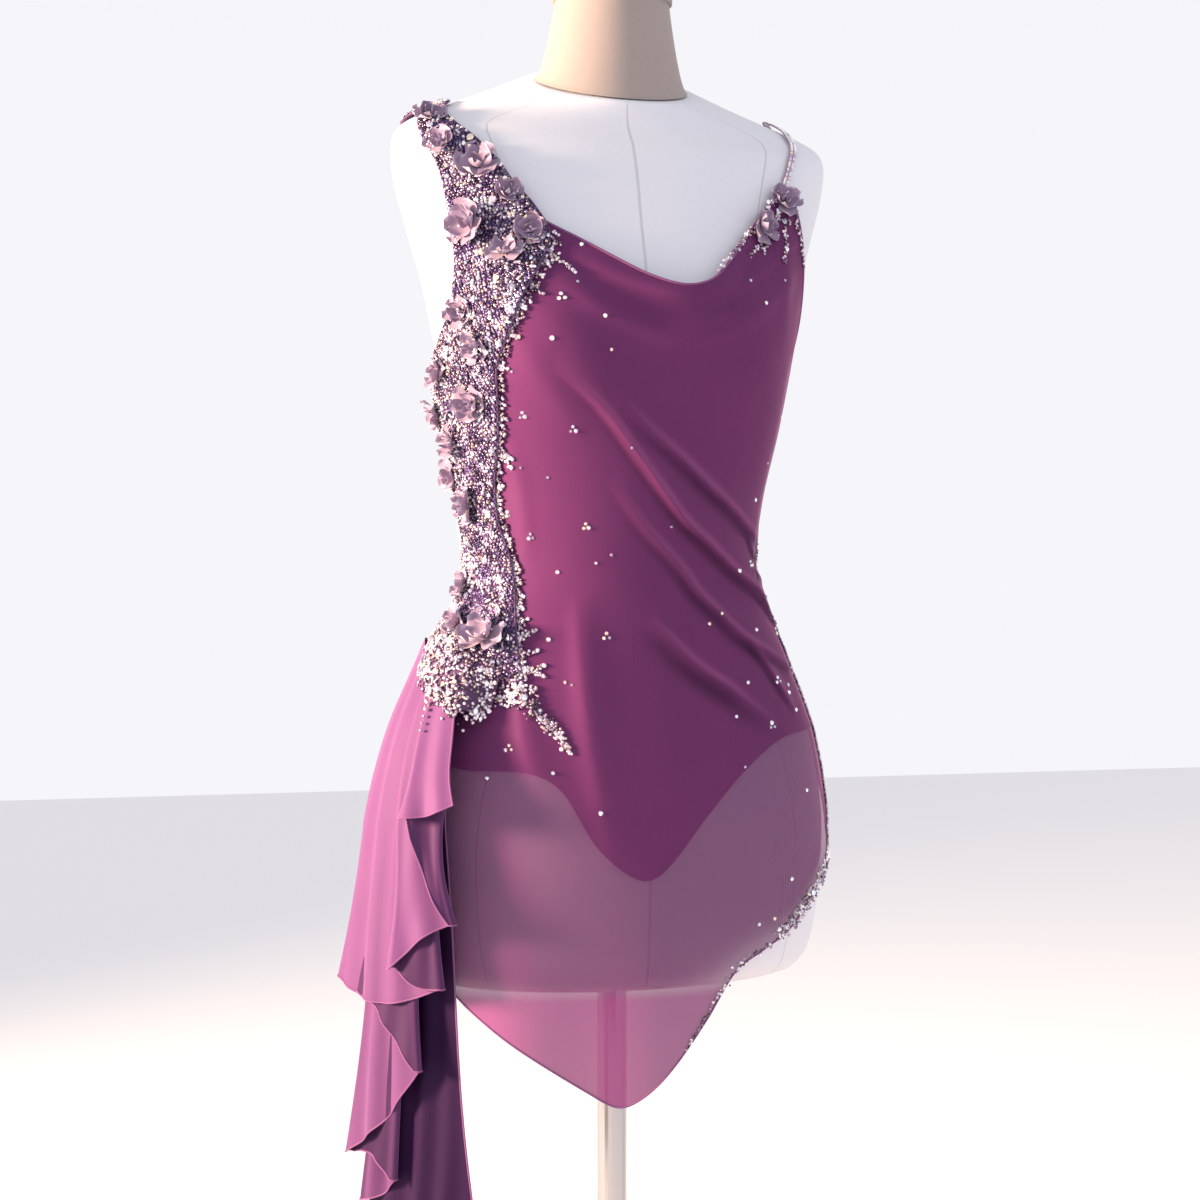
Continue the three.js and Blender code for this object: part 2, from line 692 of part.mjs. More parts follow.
// The path of the cloth at one share of the way down, seen from above.
function waterfallPath(share) {
  const radius = lerp(TURN.topRadius, TURN.endRadius, share);
  const lines = WATERFALL.map((line) => waterfallLine(line, share));
  const path = [];
  lines.forEach((line, k) => {
    const towards = k % 2 === 0 ? 1 : -1;
    const isEnd = k === 0 || k === lines.length - 1;
    const steps = isEnd ? 0 : TURN.steps;
    for (let s = 0; s <= steps; s += 1) {
      const turn = isEnd ? 0 : Math.PI * (s / steps);
      const lift = isEnd ? 0 : radius * Math.cos(turn);
      const bulge = isEnd ? 0 : (radius * Math.sin(turn)) / TURN.mmPerDegree;
      path.push({ angle: line.angle + towards * bulge, out: line.out + lift, h: line.h });
    }
    if (k === lines.length - 1) return;
    const next = lines[k + 1];
    const from = { out: line.out - (isEnd ? 0 : radius) };
    const to = { out: next.out + (k + 1 === lines.length - 1 ? 0 : radius) };
    for (let s = 1; s <= PLAIN_STEPS; s += 1) {
      const t = s / (PLAIN_STEPS + 1);
      const nearSide = k % 2 === 0 ? t ** FOLD_SWELL : 1 - (1 - t) ** FOLD_SWELL;
      path.push({
        angle: lerp(line.angle, next.angle, t),
        out: lerp(from.out, to.out, nearSide),
        h: lerp(line.h, next.h, t),
      });
    }
  });
  return path.map(({ angle, out, h }) => onForm(angle, h, out, true));
}

function waterfall() {
  const middle = spaced(0, 1, WATERFALL_ROWS).map(waterfallPath);
  const columns = middle[0].length;
  const normalAt = (i, j) => {
    const round = middle[i][Math.min(j + 1, columns - 1)].clone().sub(middle[i][Math.max(j - 1, 0)]);
    const down = middle[Math.min(i + 1, WATERFALL_ROWS - 1)][j].clone().sub(middle[Math.max(i - 1, 0)][j]);
    return round.cross(down).normalize();
  };
  const grid = (side) =>
    middle.map((row, i) => row.map((p, j) => p.clone().addScaledVector(normalAt(i, j), (side * WATERFALL_WALL) / 2)));
  return wallBetween(grid(1), grid(-1));
}

add('waterfall', waterfall(), MESH);

// ---- Fabric flowers ----

// Each flower is a small cup of petals, sewn at its middle to the band or to the top of the front.
const FLOWERS = [
  { at: [-57, 709], on: 'band', radius: 11, cup: 6, lean: 10 },
  { at: [-49, 681], on: 'band', radius: 10.5, cup: 6, lean: 150 },
  { at: [-40, 659], on: 'band', radius: 15, cup: 8, lean: 80 },
  { at: [-34, 636], on: 'band', radius: 9.5, cup: 6, lean: 30 },
  { at: [-47, 613], on: 'band', radius: 15, cup: 8, lean: 200 },
  { at: [-31, 603], on: 'band', radius: 11.5, cup: 7, lean: 300 },
  { at: [-39, 586], on: 'band', radius: 11.5, cup: 6, lean: 100 },
  { at: [-58, 543], on: 'band', radius: 11, cup: 7, lean: 40 },
  { at: [-54, 517], on: 'band', radius: 12, cup: 7, lean: 220 },
  { at: [-77, 501], on: 'band', radius: 11.5, cup: 7, lean: 120 },
  { at: [-60, 472], on: 'band', radius: 12.5, cup: 7, lean: 20 },
  { at: [-90, 470], on: 'band', radius: 12, cup: 8, lean: 260 },
  { at: [-77, 444], on: 'band', radius: 11.5, cup: 7, lean: 70 },
  { at: [-86, 419], on: 'band', radius: 11, cup: 7, lean: 330 },
  { at: [-74, 394], on: 'band', radius: 12.5, cup: 7, lean: 170 },
  { at: [-82, 324], on: 'band', radius: 11, cup: 7, lean: 60 },
  { at: [-55, 283], on: 'band', radius: 15, cup: 8, lean: 90 },
  { at: [-73, 292], on: 'band', radius: 11, cup: 6, lean: 240 },
  { at: [40.5, 645], on: 'mesh', radius: 11.5, cup: 7, lean: 140 },
  { at: [34, 619], on: 'mesh', radius: 12, cup: 7, lean: 350 },
];
// The outer face that a flower is sewn to, out from the skin.
const bandLevels = SIDE_BAND.slice(2).map(({ a, b, out }) => ({ h: (a[1] + b[1]) / 2, out })).reverse();
const CARRIER = {
  band: ([, h]) => smoothColumn(bandLevels, 'h', 'out', h) + BAND_WALL,
  mesh: ([angle, h]) => MESH_OUT + WALL + frontRelief(angle, h, smoothColumn(FRONT_TOP, 'angle', 'h', angle) - h),
};
const PETALS = 5;
const PETAL_POINTS = 15;
const PETAL_WALL = 1.1;
const PETAL_RINGS = [0.45, 1]; // shares of the flower's radius
const PETAL_NOTCH = 0.24; // how far the rim draws in between two petals
const PETAL_CURVE = 1.6; // how steeply the cup rises towards its rim
const FLOWER_TILT = 0.18;

function flower({ at, on, radius, cup, lean }) {
  const normal = skinNormal(at[0], at[1], false);
  const root = skinPoint(at[0], at[1], false).addScaledVector(normal, CARRIER[on](at) + GAP);
  const facing = new THREE.Quaternion().setFromUnitVectors(new THREE.Vector3(0, 0, 1), normal);
  const grid = (lift) => {
    const rings = PETAL_RINGS.map((share) =>
      Array.from({ length: PETAL_POINTS }, (_, i) => {
        const angle = (i / PETAL_POINTS) * 2 * Math.PI + degrees(lean);
        const petal = Math.abs(Math.cos((PETALS / 2) * (angle - degrees(lean))));
        const reach = radius * share * lerp(1, 1 - PETAL_NOTCH * (1 - petal), share);
        const tilt = FLOWER_TILT * (1 + Math.cos(angle - degrees(lean)));
        const rise = cup * share ** PETAL_CURVE + tilt * reach + lift;
        return new THREE.Vector3(reach * Math.cos(angle), reach * Math.sin(angle), rise);
      }),
    );
    return { rings, middle: new THREE.Vector3(0, 0, lift) };
  };
  const upper = grid(PETAL_WALL);
  const lower = grid(0);
  const points = [upper.middle, ...upper.rings.flat(), lower.middle, ...lower.rings.flat()];
  const half = 1 + 2 * PETAL_POINTS;
  const triangles = [];
  for (let i = 0; i < PETAL_POINTS; i += 1) {
    const next = (i + 1) % PETAL_POINTS;
    const [inner, outer] = [1 + i, 1 + PETAL_POINTS + i];
    const [innerNext, outerNext] = [1 + next, 1 + PETAL_POINTS + next];
    triangles.push([0, inner, innerNext], [half, half + innerNext, half + inner]);
    strip(triangles, inner, outer, outerNext, innerNext);
    strip(triangles, half + inner, half + innerNext, half + outerNext, half + outer);
    strip(triangles, outer, half + outer, half + outerNext, outerNext);
  }
  return solid(points.map((p) => p.applyQuaternion(facing).add(root)), triangles);
}

FLOWERS.forEach((row, i) => add(`flower_${String(i + 1).padStart(2, '0')}`, flower(row), PETAL));

export default group;
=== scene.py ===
"""A lyrical dance dress of stretch mesh on a limbless dress form: the looks around its CAD part.

Places are given on the form's own surface: an angle in degrees (0 at the centre front, positive
towards the wearer's left), a height above the form's lower edge and a distance out from its skin,
both in millimetres. Objects are made in metres.
"""

import math

import bpy
import numpy as np
from mathutils import Matrix


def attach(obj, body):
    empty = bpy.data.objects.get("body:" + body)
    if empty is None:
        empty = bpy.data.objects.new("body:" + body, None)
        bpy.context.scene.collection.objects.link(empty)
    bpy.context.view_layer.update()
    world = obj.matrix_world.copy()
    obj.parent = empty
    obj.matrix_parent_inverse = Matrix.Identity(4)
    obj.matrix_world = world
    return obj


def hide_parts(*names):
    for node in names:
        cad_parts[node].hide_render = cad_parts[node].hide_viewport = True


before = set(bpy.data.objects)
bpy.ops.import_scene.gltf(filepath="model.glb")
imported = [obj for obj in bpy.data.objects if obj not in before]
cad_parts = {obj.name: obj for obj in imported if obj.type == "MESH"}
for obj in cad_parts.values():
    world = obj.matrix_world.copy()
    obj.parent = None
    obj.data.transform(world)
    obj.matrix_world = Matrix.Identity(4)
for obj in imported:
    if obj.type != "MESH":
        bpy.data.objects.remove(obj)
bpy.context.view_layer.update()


# ---------------------------------------------------------------- camera, light and floor
# A portrait lens at chest height, 1.5 m from the form and 15 degrees towards the wearer's right.
# A low sun lamp from the left, a cool window from the right front, and a pale studio all round.

CAMERA = {"azimuth": -15, "distance": 1.5, "height": 0.644, "focal": 52.65, "shift": -0.01}


def new_object(name, data):
    """An object of the scene, at the origin and unturned."""
    obj = bpy.data.objects.new(name, data)
    bpy.context.scene.collection.objects.link(obj)
    return obj


turn = math.radians(CAMERA["azimuth"])
camera = new_object("camera", bpy.data.cameras.new("camera"))
camera.location = (math.sin(turn) * CAMERA["distance"], -math.cos(turn) * CAMERA["distance"], CAMERA["height"])
camera.rotation_euler = (math.radians(90), 0, turn)
camera.data.sensor_width = 36
camera.data.lens = CAMERA["focal"]
camera.data.shift_x = CAMERA["shift"]
bpy.context.scene.camera = camera
bpy.context.scene.view_settings.view_transform = "Standard"


def linear(hex_colour):
    """An sRGB hex colour as the linear RGBA that shaders take."""
    parts = [int(hex_colour[i : i + 2], 16) / 255 for i in (1, 3, 5)]
    return (*[c / 12.92 if c <= 0.04045 else ((c + 0.055) / 1.055) ** 2.4 for c in parts], 1)


def area_light(name, place, towards, size, power, colour):
    lamp = new_object(name, bpy.data.lights.new(name, "AREA"))
    lamp.location = place
    aim = np.array(towards, float) - np.array(place, float)
    tilt, heading = math.acos(-aim[2] / np.linalg.norm(aim)), math.atan2(aim[1], aim[0])
    lamp.rotation_euler = (tilt, 0, heading - math.pi / 2)
    lamp.data.size = size
    lamp.data.energy = power
    lamp.data.color = linear(colour)[:3]
    return lamp


low_sun = area_light("low_sun", (-2.7, 0.0, 1.05), (0, 0, 0.8), 0.6, 62, "#FFDCBC")
low_sun.data.spread = math.radians(80)
area_light("window", (1.2, -2.6, 1.9), (0, 0, 0.7), 1.6, 9, "#DDE2FF")


def live(source):
    """A socket as it is, or a node's first live output."""
    return source if isinstance(source, bpy.types.NodeSocket) else next(s for s in source.outputs if s.enabled)


def add_node(tree, kind, settings=None, links=None, to=None):
    """A node with its settings and input values, and its inputs linked from other nodes or their
    sockets. Its own first live output is linked on to the socket that to gives."""
    node = tree.nodes.new(kind)
    for key, value in (settings or {}).items():
        if isinstance(key, str) and hasattr(node, key):
            setattr(node, key, value)
        else:
            node.inputs[key].default_value = value
    for key, source in (links or {}).items():
        tree.links.new(live(source), node.inputs[key])
    if to is not None:
        tree.links.new(live(node), to)
    return node


# The studio is bright at eye level and dimmer above and below, so that forms keep their shading.
studio = bpy.data.worlds.new("pale studio")
bpy.context.scene.world = studio
studio.use_nodes = True
tree = studio.node_tree
tree.nodes.clear()
direction = add_node(tree, "ShaderNodeTexCoord")
parts = add_node(tree, "ShaderNodeSeparateXYZ", links={0: direction.outputs["Generated"]})
level = add_node(tree, "ShaderNodeMath", {"operation": "ABSOLUTE"}, {0: parts.outputs["Z"]})
dimming = {"From Min": 0.3, "From Max": 0.7, "To Min": 1.0, "To Max": 0.8}
glow = add_node(tree, "ShaderNodeMapRange", dimming, {"Value": level})
sky = add_node(tree, "ShaderNodeBackground", {"Color": linear("#F6F5FA")}, {"Strength": glow})
add_node(tree, "ShaderNodeOutputWorld", links={"Surface": sky})


def principled(name, colour, **values):
    """A material with one principled shader, its tree and that shader."""
    material = bpy.data.materials.new(name)
    material.use_nodes = True
    shader = material.node_tree.nodes["Principled BSDF"]
    shader.inputs["Base Color"].default_value = linear(colour)
    for key, value in values.items():
        shader.inputs[key.replace("_", " ").title()].default_value = value
    return material, material.node_tree, shader


# Matt studio paint: no shine, so that the floor stays plain.
floor_paint, _, _ = principled("matt white studio floor paint", "#F8F7F8", roughness=0.95)
bpy.ops.mesh.primitive_plane_add(size=9, location=(0, 0, -0.0005))
floor = bpy.context.object
floor.name = "floor"
floor.data.materials.append(floor_paint)


# ---------------------------------------------------------------- dress form
# A limbless display torso covered in undyed linen over a hard shell, with a stuffed neck block and a
# cap. The cover is cut in panels, so it has seams at the centre, under the bust points, round the
# armhole plates and at the neck.

FORM_LIFT = 330
HANG_FROM = 130
# height, half width, depth in front, depth behind, squareness, lean
FORM_RINGS = np.array([
    (0, 160, 100, 108, 2.1, 0), (14, 172, 110, 119, 2.1, 0), (60, 181, 117, 128, 2.15, 0),
    (130, 184, 119, 131, 2.2, 0), (200, 173, 113, 121, 2.2, 0), (265, 149, 103, 102, 2.15, 0),
    (335, 122, 93, 84, 2.1, 0), (395, 127, 99, 84, 2.1, 0), (460, 141, 108, 92, 2.2, 0),
    (530, 153, 111, 102, 2.3, 0), (580, 163, 103, 108, 2.4, 0), (620, 174, 92, 111, 2.5, 0),
    (660, 185, 80, 107, 2.6, 0), (690, 189, 68, 98, 2.7, 0.04), (706, 184, 58, 90, 2.6, 0.12),
    (718, 166, 53, 82, 2.5, 0.22), (730, 136, 51, 75, 2.3, 0.32), (741, 106, 51, 70, 2.15, 0.42),
    (752, 76, 52, 66, 2.0, 0.5),
], float)
FORM_TOP = 752
BUST = {"angle": 33, "spread": 17, "spanned": 21, "h": 528, "rise": 40, "out": 20}
MM_PER_DEGREE = 2.7


def bell(x):
    return np.exp(-np.square(x) / 2)


def unit(vectors):
    return vectors / np.linalg.norm(vectors, axis=-1, keepdims=True)


def through(table, column, at):
    """A smooth curve through one column of a table whose first column is the place."""
    table = np.asarray(table, float)
    keys, values = table[:, 0], table[:, column]
    at = np.clip(at, keys[0], keys[-1])
    last = len(keys) - 1
    before, after = np.maximum(np.arange(last + 1) - 1, 0), np.minimum(np.arange(last + 1) + 1, last)
    slope = (values[after] - values[before]) / (keys[after] - keys[before])
    i = np.clip(np.searchsorted(keys, at, side="left") - 1, 0, last - 1)
    width = keys[i + 1] - keys[i]
    t = (at - keys[i]) / width
    return (
        (2 * t**3 - 3 * t**2 + 1) * values[i]
        + (t**3 - 2 * t**2 + t) * width * slope[i]
        + (3 * t**2 - 2 * t**3) * values[i + 1]
        + (t**3 - t**2) * width * slope[i + 1]
    )


def numbered(rows):
    return np.array([(k, *row) for k, row in enumerate(rows)], float)


def skin(angle, h, hangs=False):
    """The place on the form's skin in millimetres. A cloth that hangs leaves the form at the hips."""
    angle, h = np.broadcast_arrays(np.asarray(angle, float), np.asarray(h, float))
    level = np.maximum(h, HANG_FROM) if hangs else h
    half, front, back, square, lean = (through(FORM_RINGS, k, level) for k in range(1, 6))
    sin, cos = np.sin(np.radians(angle)), np.cos(np.radians(angle))
    reach = (np.abs(sin) ** square + np.abs(cos) ** square) ** (1 / square)
    # a cloth that hangs spans the hollow between the bust points, so its two bells are wider
    wide = BUST["spanned"] if hangs else BUST["spread"]
    from_front = (angle + 180) % 360 - 180
    bust = bell((from_front - BUST["angle"]) / wide) + bell((from_front + BUST["angle"]) / wide)
    bust = bust * bell((h - BUST["h"]) / BUST["rise"])
    y = -np.where(cos > 0, front, back) * cos / reach - np.where(cos > 0, BUST["out"] * bust, 0)
    return np.stack([half * sin / reach, y, FORM_LIFT + h + lean * y], -1)


def skin_normal(angle, h, hangs=False):
    round_it = skin(angle + 0.5, h, hangs) - skin(angle - 0.5, h, hangs)
    up_it = skin(angle, h + 0.5, hangs) - skin(angle, h - 0.5, hangs)
    return unit(np.cross(round_it, up_it))


def on_form(angle, h, out, hangs=False):
    angle, h, out = np.broadcast_arrays(*(np.asarray(v, float) for v in (angle, h, out)))
    return skin(angle, h, hangs) + skin_normal(angle, h, hangs) * out[..., None]


def make_object(name, points, faces, material):
    """A smooth mesh object from points in millimetres."""
    mesh = bpy.data.meshes.new(name)
    mesh.from_pydata((np.asarray(points, float).reshape(-1, 3) / 1000).tolist(), [], faces)
    mesh.polygons.foreach_set("use_smooth", [True] * len(mesh.polygons))
    mesh.materials.append(material)
    return new_object(name, mesh)


def grid_faces(rows, columns, closed=False):
    """Faces of a grid whose rows run down and whose columns run to the right, seen from outside."""
    i, j = np.meshgrid(np.arange(rows - 1), np.arange(columns if closed else columns - 1), indexing="ij")
    i, j = i.ravel(), j.ravel()
    k = (j + 1) % columns
    corners = [i * columns + j, (i + 1) * columns + j, (i + 1) * columns + k, i * columns + k]
    return np.stack(corners, 1).tolist()


def set_values(obj, name, values):
    """A number for each vertex, which the material reads by its name."""
    numbers = np.asarray(values, np.float32).ravel()
    obj.data.attributes.new(name, "FLOAT", "POINT").data.foreach_set("value", numbers)


def cloth_grid(name, points, angle, h, material):
    """A cloth of a grid of points, with its own weave coordinates in metres across and down."""
    obj = make_object(name, points, grid_faces(*points.shape[:2]), material)
    across, down = np.asarray(angle) * MM_PER_DEGREE / 1000, np.asarray(h) / 1000
    places = np.stack(np.broadcast_arrays(across, down), -1).reshape(-1, 2)
    loops = np.empty(len(obj.data.loops), np.int32)
    obj.data.loops.foreach_get("vertex_index", loops)
    obj.data.uv_layers.new(name="weave").data.foreach_set("uv", places[loops].astype(np.float32).ravel())
    return obj


def fasten(piece, slot, *stands_for):
    """Fixes a piece to the part's one body and hides the CAD nodes it stands for. slot is not used."""
    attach(piece, "root")
    if stands_for:
        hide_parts(*stands_for)


def linen_material(name, colour, shadow, seams):
    """Plain-woven linen with slubs that catch the light, and pressed seams that the vertex values of
    those names place: each gives the signed distance to its seam in millimetres."""
    material, tree, shader = principled(name, colour, roughness=0.86)
    shader.inputs["Sheen Weight"].default_value = 0.15
    place = add_node(tree, "ShaderNodeTexCoord").outputs["Object"]
    slub = add_node(tree, "ShaderNodeTexNoise", {"Scale": 260.0, "Detail": 3.0}, {"Vector": place})
    patch = add_node(tree, "ShaderNodeTexNoise", {"Scale": 9.0, "Detail": 3.0}, {"Vector": place})
    tone = add_node(tree, "ShaderNodeMath", {"operation": "MULTIPLY_ADD", 1: 0.35}, {0: patch})
    add_node(tree, "ShaderNodeMath", {"operation": "MULTIPLY", 1: 0.25}, {0: slub}, tone.inputs[2])
    yarns = {"data_type": "RGBA", 6: linear(colour), 7: linear(shadow)}
    cloth = add_node(tree, "ShaderNodeMix", yarns, {0: tone})
    line = None
    for seam in seams:
        distance = add_node(tree, "ShaderNodeAttribute", {"attribute_name": seam})
        size = add_node(tree, "ShaderNodeMath", {"operation": "ABSOLUTE"}, {0: distance.outputs["Fac"]})
        sewn = {"From Min": 0.36, "From Max": 0.9, "To Min": 1.0, "To Max": 0.0}
        near = add_node(tree, "ShaderNodeMapRange", sewn, {"Value": size})
        if line is not None:
            near = add_node(tree, "ShaderNodeMath", {"operation": "MAXIMUM"}, {0: line, 1: near})
        line = near
    shaded = {"data_type": "RGBA", 7: linear("#8F8788")}
    seamed = add_node(tree, "ShaderNodeMix", shaded, {6: cloth}, shader.inputs["Base Color"])
    add_node(tree, "ShaderNodeMath", {"operation": "MULTIPLY", 1: 0.38}, {0: line}, seamed.inputs[0])
    lower = add_node(tree, "ShaderNodeMath", {"operation": "SUBTRACT"}, {0: slub, 1: line})
    relief = {"Strength": 0.25, "Distance": 0.0004}
    add_node(tree, "ShaderNodeBump", relief, {"Height": lower}, shader.inputs["Normal"])
    return material


# Bleached by use on the chest, warmer on the neck: the eye reads two cloths of one form.
linen_cover = linen_material(
    "bleached linen form cover", "#DFE0E6", "#CFCED6", ["seam_panel", "seam_plate", "seam_centre"]
)
linen_neck = linen_material("natural linen neck cover", "#A39691", "#8E807A", ["seam_centre"])

FORM_AROUND = 240
COVER_IN = -1.2
form_angle = np.arange(FORM_AROUND) * 360 / FORM_AROUND - 180
form_h = np.concatenate([np.linspace(FORM_TOP, 680, 40), np.linspace(677, 20, 165), [14, 9, 5, 2, 0]])
ANGLE, H = np.meshgrid(form_angle, form_h)
form_points = on_form(ANGLE, H, COVER_IN)
# the lower edge is turned in
form_points[-1] = form_points[-2] * [0.975, 0.975, 1] - [0, 0, 1.2]
# armhole plate: an upright oval on the side of the form, its seam a distance from this edge
PLATE = {"h": 628, "tall": 84, "wide": 21, "angle": 97}
# under the bust points the panel seam leans outwards towards the waist and the shoulder
PANEL_SEAM = [(0, 46), (150, 44), (335, 33), (528, 31), (620, 33), (700, 36), (752, 44)]
# how many millimetres one unit of a seam's own measure makes: the plate's oval, and the sine of the
# angle at the centre seam of the torso and the neck
SEAM_UNIT = {"plate": 70, "torso": 100, "neck": 70}
FAR_FROM_SEAM = 50
side = np.abs(ANGLE)
panel_seam = through(PANEL_SEAM, 1, H)
oval = np.hypot((side - PLATE["angle"]) / PLATE["wide"], (H - PLATE["h"]) / PLATE["tall"])
seams = {
    "seam_panel": np.where(side < 90, side - panel_seam, 180 - side - panel_seam) * MM_PER_DEGREE,
    "seam_plate": (oval - 1) * SEAM_UNIT["plate"],
    "seam_centre": np.sin(np.radians(ANGLE)) * SEAM_UNIT["torso"],
}
rows, columns = form_points.shape[:2]
last_row, centre = (rows - 1) * columns, rows * columns
points = np.vstack([form_points.reshape(-1, 3), form_points[-1].mean(0), form_points[0].mean(0)])
faces = grid_faces(rows, columns, closed=True)
faces += [(centre, last_row + (j + 1) % columns, last_row + j) for j in range(columns)]
faces += [(centre + 1, j, (j + 1) % columns) for j in range(columns)]
form_torso = make_object("linen_torso", points, faces, linen_cover)
for seam, values in seams.items():
    set_values(form_torso, seam, np.append(values.ravel(), [FAR_FROM_SEAM] * 2))
fasten(form_torso, "linen_cover", "form_torso")

NECK = {"seam": 1, "bottom": 66, "top": 49, "front": 46, "back": 50, "height": 70, "lean": 0.1}
# how far the foot of the neck stands in from the form's top edge, in front and behind
FOOT_IN = (6, 8)
shares = np.concatenate([np.linspace(1, 0.03, 40), [0]])[:, None]
sin, cos = np.sin(np.radians(form_angle)), np.cos(np.radians(form_angle))
half = NECK["bottom"] + (NECK["top"] - NECK["bottom"]) * shares**0.6
depth_low = np.where(cos > 0, FORM_RINGS[-1, 2] - FOOT_IN[0], FORM_RINGS[-1, 3] - FOOT_IN[1])
depth_high = np.where(cos > 0, NECK["front"], NECK["back"])
neck_y = -(depth_low + (depth_high - depth_low) * shares) * cos
neck_lean = FORM_RINGS[-1, 5] + (NECK["lean"] - FORM_RINGS[-1, 5]) * shares
neck_z = FORM_LIFT + FORM_TOP + NECK["seam"] + shares * NECK["height"] + neck_lean * neck_y
neck_points = np.stack([half * sin, neck_y, neck_z], -1)
# the cap: a turned edge 3 mm proud, and a flat top. Each row: its size as a share, and its height
CAP_ROWS = [(0.0, 8), (0.9, 8), (1.02, 7), (1.055, 5), (1.055, 1), (1.01, -0.2)]
cap_rows = np.array([neck_points[0] * [size, size, 1] + [0, 0, up] for size, up in CAP_ROWS])
neck_points = np.concatenate([cap_rows, neck_points])
rows, columns = neck_points.shape[:2]
neck = make_object("linen_neck", neck_points, grid_faces(rows, columns, closed=True), linen_neck)
neck_seam = np.sin(np.radians(form_angle)) * SEAM_UNIT["neck"]
back_seam = np.where(np.abs(form_angle) < 90, FAR_FROM_SEAM, neck_seam)
set_values(neck, "seam_centre", np.broadcast_to(back_seam, (rows, columns)))
fasten(neck, "linen_neck", "form_neck", "form_neck_cap")


# ---------------------------------------------------------------- stand
# A short counter stand: a turned beech disc, a brushed steel pole up into the form, and the collar
# that clamps it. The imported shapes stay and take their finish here.

# Oiled beech: fine straight grain along X with darker flecks, and a low satin shine.
beech, tree, shader = principled("oiled beech base", "#C79A6B", roughness=0.42)
place = add_node(tree, "ShaderNodeTexCoord").outputs["Object"]
along_grain = add_node(tree, "ShaderNodeMapping", {"Scale": (6.0, 90.0, 90.0)}, {"Vector": place})
figure = {"Scale": 2.0, "Detail": 6.0, "Distortion": 0.4}
grain = add_node(tree, "ShaderNodeTexNoise", figure, {"Vector": along_grain})
wood = {"data_type": "RGBA", 6: linear("#B98757"), 7: linear("#D9B184")}
add_node(tree, "ShaderNodeMix", wood, {0: grain}, shader.inputs["Base Color"])
relief = {"Strength": 0.12, "Distance": 0.0003}
add_node(tree, "ShaderNodeBump", relief, {"Height": grain}, shader.inputs["Normal"])
# Brushed stainless steel: fine rings round the pole that stretch its highlights.
steel, tree, shader = principled("brushed stainless steel", "#B9B9BC", metallic=1.0, roughness=0.3)
place = add_node(tree, "ShaderNodeTexCoord").outputs["Object"]
rings = add_node(tree, "ShaderNodeMapping", {"Scale": (40.0, 40.0, 1800.0)}, {"Vector": place})
brush = add_node(tree, "ShaderNodeTexNoise", {"Scale": 1.0, "Detail": 2.0}, {"Vector": rings})
relief = {"Strength": 0.1, "Distance": 0.0001}
add_node(tree, "ShaderNodeBump", relief, {"Height": brush}, shader.inputs["Normal"])
for node, finish, slot in (
    ("stand_base", beech, "beech"), ("stand_pole", steel, "steel"), ("stand_collar", steel, "steel"),
):
    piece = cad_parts[node]
    piece.data.materials.clear()
    piece.data.materials.append(finish)


# ---------------------------------------------------------------- stretch mesh and its hems
# The overdress is one layer of power mesh, a fine knitted net of nylon and elastane. Against the
# lining it looks dense, and below the leg line the form shows through it. Edges are turned and sewn.

MESH_OUT = 2.7
# the weave's height, in metres, below which the mesh hangs free with no pale form behind it
FREE_BELOW = 0.012


